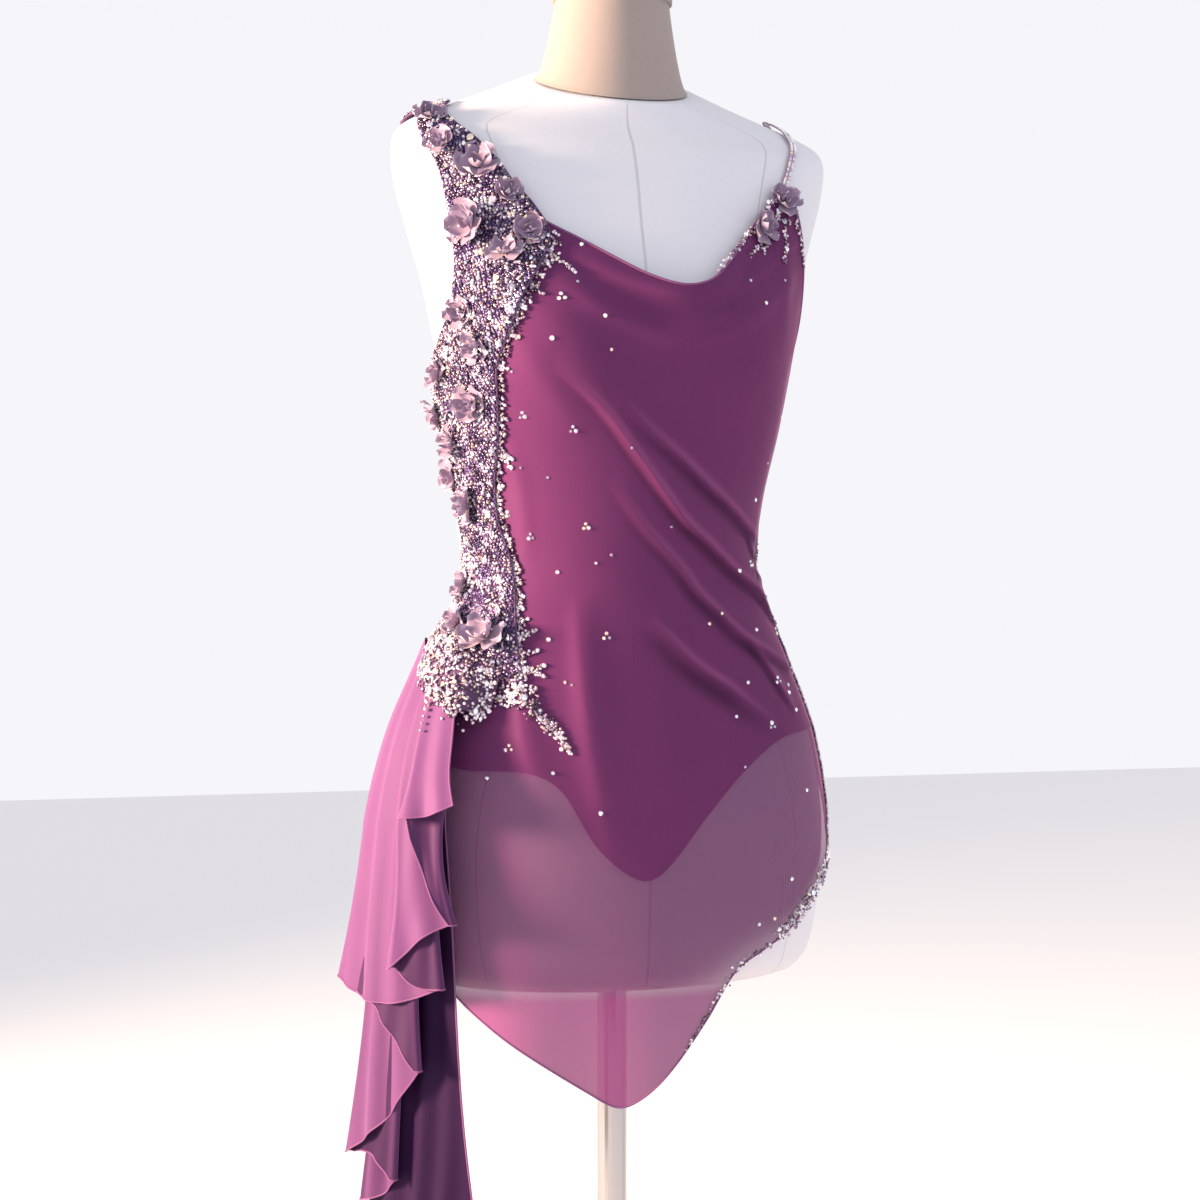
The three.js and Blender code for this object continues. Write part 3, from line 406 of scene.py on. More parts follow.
def knit_material(
    name, colour, shade, cover, sheen, sheen_tint, rough=0.55, cover_low=None, low=None, inner=None
):
    """Knitted net: a see-through part, ribs and a soft glow at grazing angles. low is a lighter colour
    painted where it hangs free below the form, as painted light for the daylight that scatters through
    it, and cover_low how dense it looks there, with no pale ground behind it. inner is a painted shade
    colour, for the layers that lie in the shade of others, where the attribute of that name is 1; there
    the sheen is taken down too. The attribute fold is positive on a crest, which takes a painted
    highlight, and negative in the crease beside it, which takes painted shade."""
    material, tree, shader = principled(name, colour, roughness=rough)
    shader.inputs["Sheen Weight"].default_value = sheen
    shader.inputs["Sheen Roughness"].default_value = 0.35
    shader.inputs["Sheen Tint"].default_value = linear(sheen_tint)
    shader.inputs["Specular IOR Level"].default_value = 0.08
    shader.inputs["Alpha"].default_value = cover
    weave = add_node(tree, "ShaderNodeUVMap", {"uv_map": "weave"})
    height = add_node(tree, "ShaderNodeSeparateXYZ", links={0: weave}).outputs["Y"] if low else None
    if cover_low:
        denser = {"From Min": 0.0, "From Max": FREE_BELOW, "To Min": cover_low, "To Max": cover}
        add_node(tree, "ShaderNodeMapRange", denser, {"Value": height}, shader.inputs["Alpha"])
    # ribs 2 mm apart, twice the real ones, so that they show
    ribbing = {
        "wave_type": "BANDS", "bands_direction": "X",
        "Scale": 157.0, "Distortion": 0.9, "Detail": 1.0, "Detail Scale": 2.0,
    }
    rib = add_node(tree, "ShaderNodeTexWave", ribbing, {"Vector": weave}).outputs["Fac"]
    cloudy = {"Scale": 14.0, "Detail": 4.0, "Roughness": 0.6}
    dye = add_node(tree, "ShaderNodeTexNoise", cloudy, {"Vector": weave})
    part = add_node(tree, "ShaderNodeMath", {"operation": "MULTIPLY_ADD", 1: 0.13}, {0: rib})
    add_node(tree, "ShaderNodeMath", {"operation": "MULTIPLY", 1: 0.5}, {0: dye}, part.inputs[2])
    dyes = {"data_type": "RGBA", 6: linear(colour), 7: linear(shade)}
    base = add_node(tree, "ShaderNodeMix", dyes, {0: part})
    # painted highlight on the crests of the folds and painted shade in their creases
    fold = add_node(tree, "ShaderNodeAttribute", {"attribute_name": "fold"}).outputs["Fac"]
    for share, painted_light_tint in ((0.32, "#B8709E"), (-0.55, "#2A1230")):
        scaled = {"operation": "MULTIPLY", 1: share, "use_clamp": True}
        part = add_node(tree, "ShaderNodeMath", scaled, {0: fold})
        base = add_node(tree, "ShaderNodeMix", {"data_type": "RGBA", 7: linear(painted_light_tint)}, {0: part, 6: base})
    # painted light: a lighter colour where the mesh hangs free below the form, for daylight scattering through
    # it
    if low:
        lighter = {"From Min": 0.0, "From Max": FREE_BELOW, "To Min": 0.85, "To Max": 0.0}
        free = add_node(tree, "ShaderNodeMapRange", lighter, {"Value": height})
        base = add_node(tree, "ShaderNodeMix", {"data_type": "RGBA", 7: linear(low)}, {0: free, 6: base})
    # painted shade: the layers behind are painted towards the inner colour and lose their sheen
    if inner:
        back = add_node(tree, "ShaderNodeAttribute", {"attribute_name": "inner"}).outputs["Fac"]
        base = add_node(tree, "ShaderNodeMix", {"data_type": "RGBA", 7: linear(inner)}, {0: back, 6: base})
        less_sheen_in_painted_shade = {"operation": "MULTIPLY_ADD", 1: -sheen, 2: sheen}
        add_node(tree, "ShaderNodeMath", less_sheen_in_painted_shade, {0: back}, shader.inputs["Sheen Weight"])
    tree.links.new(live(base), shader.inputs["Base Color"])
    relief = {"Strength": 0.02, "Distance": 0.0004}
    add_node(tree, "ShaderNodeBump", relief, {"Height": rib}, shader.inputs["Normal"])
    return material


# Berry pink where light rakes it and plum where it turns away, as fine nylon knits do.
# its low colour is painted light, lighter where the mesh hangs free below the form
stretch_mesh = knit_material(
    "berry stretch mesh", "#79396C", "#5C2F5E", 0.72, 0.6, "#F59AC6", cover_low=0.9, low="#8C3F76"
)
# Several layers of the knit hang close together in the drape, so nothing shows through them. Its inner colour
# is painted shade on the layers behind.
layered_mesh = knit_material(
    "berry stretch mesh in layers", "#7B4A7A", "#5E3A69", 1.0, 1.0, "#F2C6EA", inner="#2C1538"
)
# The same knit turned over twice at an edge, so it is denser and a little paler.
mesh_edge = knit_material("turned mesh hem", "#855380", "#674468", 1.0, 0.4, "#E8C0DC")


def tube(points, radius, sides=6):
    """Points and faces of a round tube along a line of points."""
    points = np.asarray(points, float)
    run = unit(np.gradient(points, axis=0))
    aside = unit(np.cross(run, [0.31, 0.17, 0.93]))
    other = np.cross(run, aside)
    around = (np.arange(sides) * 2 * np.pi / sides)[None, :, None]
    rings = points[:, None] + radius * (np.cos(around) * aside[:, None] + np.sin(around) * other[:, None])
    faces = [tuple(reversed(face)) for face in grid_faces(len(points), sides, closed=True)]
    last = (len(points) - 1) * sides
    faces += [tuple(range(sides)), tuple(last + k for k in reversed(range(sides)))]
    return rings.reshape(-1, 3), faces


def tubes_object(name, lines, material):
    """One object of several tubes, each a line of points and a radius."""
    points, faces, start = [], [], 0
    for line, radius in lines:
        p, f = tube(line, radius)
        faces += [tuple(k + start for k in face) for face in f]
        points.append(p)
        start += len(p)
    return make_object(name, np.vstack(points), faces, material)


# ---------------------------------------------------------------- leotard lining
# A high-cut leotard of plum jersey lies on the form under the mesh and ends just inside its
# neckline. It has a point at the front and at the back, a low scooped back, and elastic at the leg.

LINING_OUT = 1.1
# the neckline of the mesh, which the lining follows 1 mm lower
NECKLINE = [
    (-90, 509), (-78, 519), (-66, 540), (-60, 560), (-55, 590), (-50, 612), (-40, 622), (-31, 620),
    (-22, 605), (-10, 583), (0, 567), (10, 559), (18, 566), (24, 586), (30, 614), (36, 642), (40, 652),
    (45, 644), (52, 619), (60, 588), (68, 556), (76, 530), (84, 514),
]
LINING_FRONT_TOP = [(-96, 504), *((angle, h - 1) for angle, h in NECKLINE), (96, 506)]
LEG_LINE_FRONT = [
    (-96, 196), (-50, 180), (-31, 178), (-22, 163), (-13, 119), (-3, 94),
    (3, 99), (15, 143), (26, 175), (39, 197), (52, 204), (96, 206),
]
BACK_TOP = [(96, 508), (112, 500), (140, 450), (180, 418), (220, 450), (248, 500), (264, 508)]
LEG_LINE_BACK = [(96, 206), (120, 176), (150, 120), (174, 94), (186, 94), (210, 120), (240, 172), (264, 196)]
SEWN_DEPTH = 36

# Matt cotton jersey: dark and even, since it only has to stop the eye behind the mesh.
leotard_jersey = knit_material("plum cotton jersey", "#532648", "#3E1B38", 1.0, 0.15, "#B06A98", rough=0.8)


def panel_grid(columns, rows, top, bottom):
    """The angle and the height of each point of a cloth between two edges that are tables of heights,
    and how far it lies below the one and above the other."""
    angle = np.broadcast_to(columns, (rows, len(columns)))
    high, low = through(top, 1, columns), through(bottom, 1, columns)
    h = high + (low - high) * np.linspace(0, 1, rows)[:, None]
    return angle, h, high - h, h - low


def panel(name, grid, out, material, relief, hangs=False, near_mesh=False):
    """A cloth on such a grid, with its points. The lining is sewn in with the mesh at its top edge, so
    near that edge it comes out to lie just behind it."""
    angle, h, below, above = grid
    points = on_form(angle, h, out + relief(angle, h, below, above), hangs)
    if near_mesh:
        sewn = np.clip(1 - below / SEWN_DEPTH, 0, 1)[..., None]
        behind = on_form(angle, h, MESH_OUT + front_relief(angle, h, below + 1) - 0.9, True)
        points = points + (behind - points) * (3 * sewn**2 - 2 * sewn**3)
    return cloth_grid(name, points, angle, h, material), points


COWL = {"middle": 12, "spread": 16, "roll": 9, "depth": 34}


def cowl_roll(angle, below):
    turn = np.clip(below / COWL["depth"], 0, 1)
    return COWL["roll"] * bell((angle - COWL["middle"]) / COWL["spread"]) * (1 - turn) ** 1.5 * (0.75 + turn)


# the line of each fold (angle and height), the height of its ridge, its width above and below its
# line, and what is left of it at its end. The first seven make the fan at the left waist and hip: the
# cloth under each falls away sharply, and they also take a painted highlight on the crest and painted
# shade in the crease.
FRONT_FOLDS = [
    (
        [(-30, 500), (-16, 470), (-3, 430), (13.4, 383), (25, 363), (41.5, 337), (58.5, 318), (72, 292)],
        8.4, 18, 3, 0.75,
    ),
    ([(-12, 480), (0.5, 451), (16, 422.5), (27, 404), (46, 380), (62, 366), (76, 350)], 4.4, 13, 3.6, 0.8),
    (
        [(-12, 410), (0, 374.6), (14.4, 342), (21.7, 319), (28.6, 303), (37, 283), (48, 270), (62, 258)],
        5, 14, 3.8, 0.6,
    ),
    ([(2, 300), (8, 284), (16.7, 261), (26, 243.4), (31.4, 231.6), (40.5, 212)], 3.0, 12, 5.5, 0.1),
    ([(36, 288), (45, 260.5), (50, 237.6), (55, 218)], 2.6, 7, 3.0, 0.0),
    ([(52, 344), (62, 330), (72, 318)], 2.2, 5, 2.5, 0.4),
    ([(50, 372), (60, 352), (72, 334)], 2.4, 6, 2.5, 0.5),
    ([(-24, 322), (-20.5, 277), (-17.5, 233), (-14.5, 190), (-9, 105)], 4.6, 12, 7, 0.1),
    ([(-41, 285), (-36, 234), (-31, 190), (-24, 150)], 3.4, 9, 6, 0.0),
    ([(40, 640), (45, 592), (48, 520)], 2.5, 9, 9, 0.0),
    ([(-26, 598), (-8, 565), (12, 552), (30, 570), (48, 612)], 4.2, 6, 4.0, 0.2),
    ([(-28, 590), (-10, 556), (6, 541), (24, 553), (44, 598)], -3.0, 7, 7, 0.2),
    ([(-32, 574), (-12, 538), (8, 522), (28, 537), (50, 580)], 4.2, 10, 6, 0.2),
    ([(-34, 552), (-12, 514), (8, 502), (30, 514), (50, 556)], -1.4, 9, 9, 0.2),
    ([(-46, 545), (-37, 500), (-20, 440)], 1.6, 9, 9, 0.0),
    ([(-50, 470), (-45.5, 400), (-46, 330)], 1.4, 8, 8, 0.0),
]
FAN_FOLDS = FRONT_FOLDS[:7]
# the flutes of the hem: angle, how wide, and how far each stands out where it is fully open
FLUTES = [(-33, 8, 5), (2, 9, 6), (34, 8, 5), (66, 9, 6)]
FLUTE_OPENS_OVER = 180
# the cloth is drawn flat on the body where it turns the side
DRAWN = {"from": 60, "over": 15, "share": 0.85}


def ridge(fold, angle, h, tone=False):
    """A soft ridge along its line, found by the nearest piece of that line. As a tone it gives 1 on
    the crest and -1 in the crease below it, for a painted highlight on the crest and painted shade in the
    crease."""
    stations, height, above, below, left = fold
    table = numbered(stations)
    at = np.linspace(0, len(stations) - 1, 29)
    line = np.stack([through(table, 1, at) * MM_PER_DEGREE, through(table, 2, at)], -1)
    piece = np.diff(line, axis=0)
    reach = np.stack([angle * MM_PER_DEGREE, h], -1)[..., None, :] - line[:-1]
    along = np.clip((reach * piece).sum(-1) / (piece**2).sum(-1), 0, 1)
    off = reach - along[..., None] * piece
    distance = np.hypot(off[..., 0], off[..., 1])
    k = distance.argmin(-1)[..., None]
    near = np.take_along_axis(distance, k, -1)[..., 0]
    turned = piece[:, 0] * off[..., 1] - piece[:, 1] * off[..., 0]
    away = near * np.sign(np.take_along_axis(turned, k, -1)[..., 0])
    at = ((k + np.take_along_axis(along, k, -1)) / len(piece))[..., 0]
    swell = np.where(at < 0.5, np.sin(np.pi * at), left + (1 - left) * np.sin(np.pi * at))
    if tone:
        crest, crease = bell((away - 1.5) / 2.6), bell((away + below * 1.9) / (1.1 * below))
        return np.sign(height) * swell * (crest - 1.2 * crease)
    width = below + (above - below) / (1 + np.exp(-np.clip(away / 1.6, -30, 30)))
    return height * swell * bell(near / width)


def flute_out(flutes, angle, h):
    hung = np.clip((HANG_FROM + 20 - h) / FLUTE_OPENS_OVER, 0, 1)
    return sum(out * hung * bell((angle - middle) / spread) for middle, spread, out in flutes)


def front_relief(angle, h, below, above=None):
    drawn = 1 - DRAWN["share"] * np.clip((angle - DRAWN["from"]) / DRAWN["over"], 0, 1)
    folds = sum(ridge(fold, angle, h) for fold in FRONT_FOLDS)
    return cowl_roll(angle, below) + folds * drawn + flute_out(FLUTES, angle, h)


def leg_elastic(angle, h, below, above):
    """The casing of the leg elastic is a little thicker than the jersey."""
    return 0.5 * np.clip(1 - np.abs(above - 4) / 4, 0, 1)


front_grid = panel_grid(np.linspace(-96, 96, 150), 110, LINING_FRONT_TOP, LEG_LINE_FRONT)
leotard_front, front_points = panel(
    "leotard_front", front_grid, LINING_OUT, leotard_jersey, leg_elastic, near_mesh=True
)
back_grid = panel_grid(np.linspace(96, 264, 130), 110, BACK_TOP, LEG_LINE_BACK)
leotard_back, back_points = panel("leotard_back", back_grid, LINING_OUT, leotard_jersey, leg_elastic)
leotard_edges = tubes_object(
    "leotard_edges",
    [(front_points[-1], 0.8), (back_points[-1], 0.8), (back_points[0], 0.9), (front_points[0], 0.5)],
    leotard_jersey,
)
fasten(leotard_front, "leotard_jersey", "lining_front")
fasten(leotard_back, "leotard_jersey", "lining_back")
fasten(leotard_edges, "leotard_jersey")


# ---------------------------------------------------------------- front of the overdress
# One bias-cut piece of mesh from the neckline to the pointed hem. The neckline drops in a shallow
# cowl, and a fan of soft folds runs from the bust and the hip to the gathers at the left waist.

FRONT_TOP = [(-101, 504), *NECKLINE]
FRONT_HEM = [
    (-101, 24), (-75, 22), (-55, 9), (-46, -9), (-31, -40), (-16, -71), (-9, -83), (-4, -79), (3, -61),
    (14, -19), (22, 16), (30, 31), (40, 45), (56, 76), (68, 96), (76, 118), (84, 158),
]


def on_front(angle, h, lift=0.0):
    """A place on the outside of the front piece, and the way out from it."""
    angle, h = np.asarray(angle, float), np.asarray(h, float)
    relief = front_relief(angle, h, through(FRONT_TOP, 1, angle) - h)
    return on_form(angle, h, MESH_OUT + relief + lift, True), skin_normal(angle, h, True)


front_grid = panel_grid(np.linspace(-101, 84, 270), 310, FRONT_TOP, FRONT_HEM)
mesh_front, front_points = panel(
    "overdress_front", front_grid, MESH_OUT, stretch_mesh, front_relief, hangs=True
)
angle, h, _, _ = front_grid
# the painted highlight and painted shade of the folds fade out towards the form's lower edge
tone = sum(ridge(fold, angle, h, tone=True) for fold in FAN_FOLDS) * np.clip(h / 40, 0, 1)
set_values(mesh_front, "fold", tone)
front_edges = [(front_points[0], 1.1), (front_points[-1], 0.8), (front_points[:, -1], 0.9)]
front_hems = tubes_object("overdress_front_hems", front_edges, mesh_edge)
fasten(mesh_front, "stretch_mesh", "mesh_front")
fasten(front_hems, "stretch_mesh")


# ---------------------------------------------------------------- back of the skirt
# A short piece of the same mesh, gathered on to the waist at the back and cut longer towards the
# right hip. It is open from the front at the left side and joins it under the drape at the right.

SKIRT_BACK_TOP = [(86, 338), (172, 346), (259, 338)]
SKIRT_BACK_HEM = [(86, 148), (96, 104), (125, 72), (180, 38), (230, 10), (259, 24)]
BACK_FLUTES = [(112, 8, 7), (143, 9, 9), (176, 9, 8), (208, 9, 9), (238, 8, 7)]
# the gathers, broad and fine: degrees from one to the next, their depth, and where they have run out
BROAD = {"apart": 17, "deep": 3.2, "gone": 120}
FINE = {"apart": 6.3, "deep": 1.6, "gone": 60}


def back_relief(angle, h, below, above):
    """Small gathers at the waist, no two alike, that open into the flutes of the hem."""
    near = np.clip(1 - below / BROAD["gone"], 0, 1) * np.clip(below / 20, 0, 1)
    broad = 0.5 + 0.5 * np.cos(np.radians(angle * 360 / BROAD["apart"]))
    sway = 1.7 * np.sin(np.radians(angle * 9))
    fine = 0.5 + 0.5 * np.cos(np.radians(angle * 360 / FINE["apart"]) + sway)
    fine = FINE["deep"] * fine * np.clip(1 - below / FINE["gone"], 0, 1)
    return near * (BROAD["deep"] * broad + fine) + flute_out(BACK_FLUTES, angle, h)


back_grid = panel_grid(np.linspace(86, 258.9, 200), 120, SKIRT_BACK_TOP, SKIRT_BACK_HEM)
mesh_back, back_points = panel("skirt_back_mesh", back_grid, MESH_OUT, stretch_mesh, back_relief, hangs=True)
back_edges = [(back_points[0], 1.1), (back_points[-1], 0.8), (back_points[:, 0], 0.9)]
back_hems = tubes_object("mesh_back_hems", back_edges, mesh_edge)
fasten(mesh_back, "stretch_mesh", "mesh_skirt_back")
fasten(back_hems, "stretch_mesh")


# ---------------------------------------------------------------- waterfall drape
# One long piece of mesh is sewn under the band at the right hip and falls back and forth in folds,
# its cut edge stepping down in a zigzag from the front tier to the tail.

# top angle, out and height, then end angle, out and height, how the line sways on its way down, and
# how far the cut edge bows below the straight way to the next line
WATERFALL = [
    (-53, 25.0, 231, -46.5, 40, 153, 0.6, 3),
    (-62, 24.3, 240, -58, 42, 142, -0.8, 9),
    (-54, 21.5, 233, -48, 35, 64, 1.8, -6),
    (-68, 20.8, 248, -61, 42, 27, -1.2, 6),
    (-55, 18.0, 234, -51, 32, 13, 1.2, 15),
    (-89, 17.0, 276, -87, 46, 7, -1.6, -13),
    (-56, 14.5, 235, -59, 28, -54, 2.4, 9),
    (-82, 13.4, 267, -84, 41, -135, -2.4, -9),
    (-56, 11.3, 235, -69, 25, -146, 2.0, 5),
    (-76, 10.0, 262, -81, 31, -172, -2.0, 8),
    (-57, 7.2, 235, -43, 10, -205, 1.4, 0),
]
WATERFALL_FLARE = 1.8
FOLD_TURN = {"top": 0.95, "end": 3.6, "steps": 8, "mm_per_degree": 2.6}
# soft gathers run down each layer from its seam
GATHER = {"apart": 27, "deep": 2.2, "steps": 24}
# the layers behind lie in the shade of the ones before them: a share of painted shade for each layer
PAINTED_SHADE_BY_LAYER = [0.0, 0.6, 0.05, 0.8, 0.15, 0.8, 0.25, 0.9, 0.4, 1.0]


def waterfall_row(share):
    """A zigzag line across the drape, from its front tier to its tail, at a share of the way down."""
    radius = FOLD_TURN["top"] + (FOLD_TURN["end"] - FOLD_TURN["top"]) * share
    flare = share**WATERFALL_FLARE
    lines = [
        (
            a0 + (a1 - a0) * share + sway * math.sin(2.2 * math.pi * share) * share,
            o0 + (o1 - o0) * flare,
            h0 + (h1 - h0) * share,
        )
        for a0, o0, h0, a1, o1, h1, sway, _ in WATERFALL
    ]
    path, last = [], len(lines) - 1
    for k, (angle, out, h) in enumerate(lines):
        towards = 1 if k % 2 == 0 else -1
        ends = k in (0, last)
        for s in range(1 if ends else FOLD_TURN["steps"] + 1):
            turned = math.pi * s / FOLD_TURN["steps"]
            lift = 0 if ends else radius * math.cos(turned)
            bulge = 0 if ends else radius * math.sin(turned) / FOLD_TURN["mm_per_degree"]
            path.append((angle + towards * bulge, out + lift, h))
        if k == last:
            break
        angle_next, out_next, h_next = lines[k + 1]
        leave, arrive = out - (0 if ends else radius), out_next + (0 if k + 1 == last else radius)
        bow = WATERFALL[k][7] * share**2
        waves = abs(angle_next - angle) * MM_PER_DEGREE / GATHER["apart"]
        for s in range(1, GATHER["steps"]):
            t = s / GATHER["steps"]
            near = t**1.8 if k % 2 == 0 else 1 - (1 - t) ** 1.8
            arch = math.sin(math.pi * t)
            ripple = 1.3 * share**3 * arch * math.sin(2 * math.pi * (1.5 * t + 0.37 * k))
            gather = math.sin(2 * math.pi * (waves * t**1.2 + 0.29 * k))
            ripple += GATHER["deep"] * share**0.7 * arch**0.7 * gather
            path.append((
                angle + (angle_next - angle) * t,
                leave + (arrive - leave) * near + ripple,
                h + (h_next - h) * t - bow * arch,
            ))
    return path


def reached_along(points):
    """How far along a line of points each of them lies."""
    return np.cumsum(np.linalg.norm(np.diff(points, axis=0, prepend=points[:1]), axis=1))


# the rows run from the tail to the front tier, so that the faces look outwards
fall = np.array([waterfall_row(share) for share in np.linspace(0, 1, 90)])
fall_points = on_form(fall[..., 0], fall[..., 2], fall[..., 1], True)
run = reached_along(fall_points[45]) / MM_PER_DEGREE
waterfall = cloth_grid(
    "waterfall_drape", fall_points[:, ::-1], run[::-1][None, :], fall[..., 2][:, ::-1], layered_mesh
)
step = (fall_points.shape[1] - 1) / len(PAINTED_SHADE_BY_LAYER)
painted_shade_share = np.array([PAINTED_SHADE_BY_LAYER[min(int(k / step), len(PAINTED_SHADE_BY_LAYER) - 1)] for k in range(fall_points.shape[1])])
painted_shade_share = np.convolve(np.pad(painted_shade_share, 4, mode="edge"), np.ones(9) / 9, mode="valid")
set_values(waterfall, "inner", np.broadcast_to(painted_shade_share[::-1], fall_points.shape[:2]))
fall_edges = (fall_points[-1], fall_points[:, 0], fall_points[:, -1])
fall_hems = tubes_object("waterfall_hem", [(edge, 0.75) for edge in fall_edges], mesh_edge)
fasten(waterfall, "stretch_mesh", "waterfall")
fasten(fall_hems, "stretch_mesh")


# ---------------------------------------------------------------- band, straps and their ground
# The right shoulder strap widens into a band that covers the side seam down to the hip. It is a firm
# net ground, edged with a fold of mesh and sewn all over with beads. Two straps cross at the back.

BAND_WALL = 1.4
# outer edge (angle, height), inner edge (angle, height), distance out
SIDE_BAND = [
    (-125, 702, -128, 714, 3.6), (-108, 712, -110, 723, 2.4), (-90, 717, -90, 728.5, 1.0),
    (-73, 714, -66, 722, 1.0), (-61, 706, -50, 711, 1.0), (-55, 685, -41, 693, 1.0),
    (-52, 662, -35, 668, 1.8), (-52, 640, -32, 646, 3.6), (-53, 616, -28, 624, 5.5),
    (-55, 592, -26, 600, 5.5), (-59, 566, -31, 573, 5.5), (-66, 541, -38, 547, 5.5),
    (-80, 518, -43, 523, 5.5), (-95, 503, -48, 500, 5.5), (-98, 474, -49, 474, 5.5),
    (-98, 442, -51, 442, 5.5), (-98, 410, -56, 410, 5.5), (-98, 378, -57, 378, 5.5),
    (-98, 346, -52, 346, 5.5), (-98, 316, -46, 306, 5.5), (-96, 291, -36, 246, 5.5),
]
BAND_END = len(SIDE_BAND) - 1
# further out than this the band lies on the mesh, and nearer than that on the form
ON_MESH_FROM = 2.9
LEFT_STRAP = [
    (40, 640, 1), (41.5, 668, 1), (44.5, 695, 1), (52, 714, 1), (68, 724, 1), (90, 729, 1), (112, 719, 1),
    (135, 692, 1.2), (158, 650, 1.6), (180, 613, 2.6), (205, 574, 2.4), (232, 536, 2.2), (252, 502, 2.2),
]
RIGHT_BACK_STRAP = [
    (235.5, 709, 0.7), (230, 705, 0.9), (218, 684, 1.0), (201, 650, 0.9), (180, 613, 0.7), (155, 574, 0.9),
    (128, 536, 1.6), (108, 500, 2.2),
]


def on_band(at, share, lift=0.0):
    """A place on the outside of the band, and the way out from it, from how far along and across it is."""
    at, share = np.asarray(at, float), np.asarray(share, float)
    a0, h0, a1, h1, out = (through(numbered(SIDE_BAND), k, at) for k in range(1, 6))
    angle, h = a0 + (a1 - a0) * share, h0 + (h1 - h0) * share
    over_mesh = (out > ON_MESH_FROM)[..., None]
    points = np.where(over_mesh, on_form(angle, h, out + lift, True), on_form(angle, h, out + lift))
    return points, skin_normal(angle, h), angle, h


# Firm net dyed lilac: what shows between the beads is dull and a little darker than they are.
band_net = knit_material("lilac net band ground", "#65496C", "#432F4C", 1.0, 0.3, "#D9C2E6", rough=0.7)
# Covered elastic, worn smooth: a faint satin line on the skin of the form.
elastic = knit_material("mauve strap elastic", "#B98FA8", "#9C6F8E", 1.0, 0.4, "#F0D6E4", rough=0.45)

AT, SHARE = np.meshgrid(np.linspace(0, BAND_END, 240), np.linspace(0, 1, 34), indexing="ij")
band_points, _, band_angle, band_h = on_band(AT, SHARE, 0.9)
side_band = cloth_grid("side_band_ground", band_points, band_angle, band_h, band_net)
band_edges = tubes_object(
    "side_band_edges", [(band_points[:, 0], 0.9), (band_points[:, -1], 0.9), (band_points[-1], 0.8)], band_net
)


def strap_line(rows, count):
    rows = numbered(rows)
    at = np.linspace(0, len(rows) - 1, count)
    angle, h, out = (through(rows, k, at) for k in (1, 2, 3))
    points, normal = on_form(angle, h, out), skin_normal(angle, h)
    return points, normal, unit(np.cross(unit(np.gradient(points, axis=0)), normal))


def strap_object(name, rows, width, count, material):
    """A flat strap with a softly rounded face, and its own weave coordinates."""
    points, normal, side = strap_line(rows, count)
    across = np.linspace(-0.5, 0.5, 7)
    crown = 0.5 + 0.9 * (1 - (2 * across) ** 4)
    out = normal[:, None] * crown[None, :, None]
    grid = points[:, None] + side[:, None] * across[None, :, None] * width + out
    down = reached_along(points)[:, None]
    return cloth_grid(name, grid, (across * width / MM_PER_DEGREE)[None, :], down, material)


# the tapes: their width, and how many places along them
left_strap = strap_object("left_strap_tape", LEFT_STRAP, 6.4, 200, elastic)
back_strap = strap_object("right_back_tape", RIGHT_BACK_STRAP, 6.8, 120, elastic)
fasten(side_band, "beaded_band", "side_band")
fasten(band_edges, "beaded_band")
fasten(left_strap, "beaded_strap", "left_strap")
fasten(back_strap, "elastic", "right_back_strap")


# ---------------------------------------------------------------- beadwork
# Everything that is sewn on one by one: cupped sequins that cover the band, glass seed beads in
# crowded rows over them, foil-backed crystals, and sprigs of beads that run out over the mesh.

chance = np.random.default_rng(20241)


def turned_shape(name, profile, sides, smooth):
    """The pattern for one kind of bead, sequin or stone: a small turned shape of unit size, with rings
    given as radius and height and a point at each end."""
    turns = [2 * math.pi * k / sides for k in range(sides)]
    points = [(0, 0, profile[0][1])]
    for radius, height in profile[1:-1]:
        points += [(radius * math.cos(turn), radius * math.sin(turn), height) for turn in turns]
    points.append((0, 0, profile[-1][1]))
    rings, last = len(profile) - 2, len(points) - 1
    faces = [(0, 1 + (k + 1) % sides, 1 + k) for k in range(sides)]
    for r in range(rings - 1):
        a, b = 1 + r * sides, 1 + (r + 1) * sides
        faces += [(a + k, a + (k + 1) % sides, b + (k + 1) % sides, b + k) for k in range(sides)]
    a = 1 + (rings - 1) * sides
    faces += [(a + k, a + (k + 1) % sides, last) for k in range(sides)]
    mesh = bpy.data.meshes.new(name)
    mesh.from_pydata(points, [], faces)
    mesh.polygons.foreach_set("use_smooth", [smooth] * len(mesh.polygons))
    obj = new_object(name, mesh)
    obj.hide_render = True
    return obj


seed_shape = turned_shape("seed_pattern", [(0, -0.7), (0.95, -0.25), (0.82, 0.5), (0, 0.82)], 6, True)
sequin_shape = turned_shape("sequin_pattern", [(0, 0.02), (1.0, 0.32), (0, 0.1)], 7, True)
stone_profile = [(0, -0.25), (0.98, -0.15), (1.0, 0.02), (0.55, 0.5), (0, 0.52)]
stone_shape = turned_shape("stone_pattern", stone_profile, 8, False)
drop_profile = [(0, -0.2), (0.62, 0.0), (0.55, 0.3), (0.2, 0.52), (0, 0.55)]
drop_shape = turned_shape("drop_pattern", drop_profile, 6, False)
# a drop is about twice as long as it is wide
drop_shape.data.transform(Matrix.Diagonal((1.9, 0.85, 1.0, 1.0)))


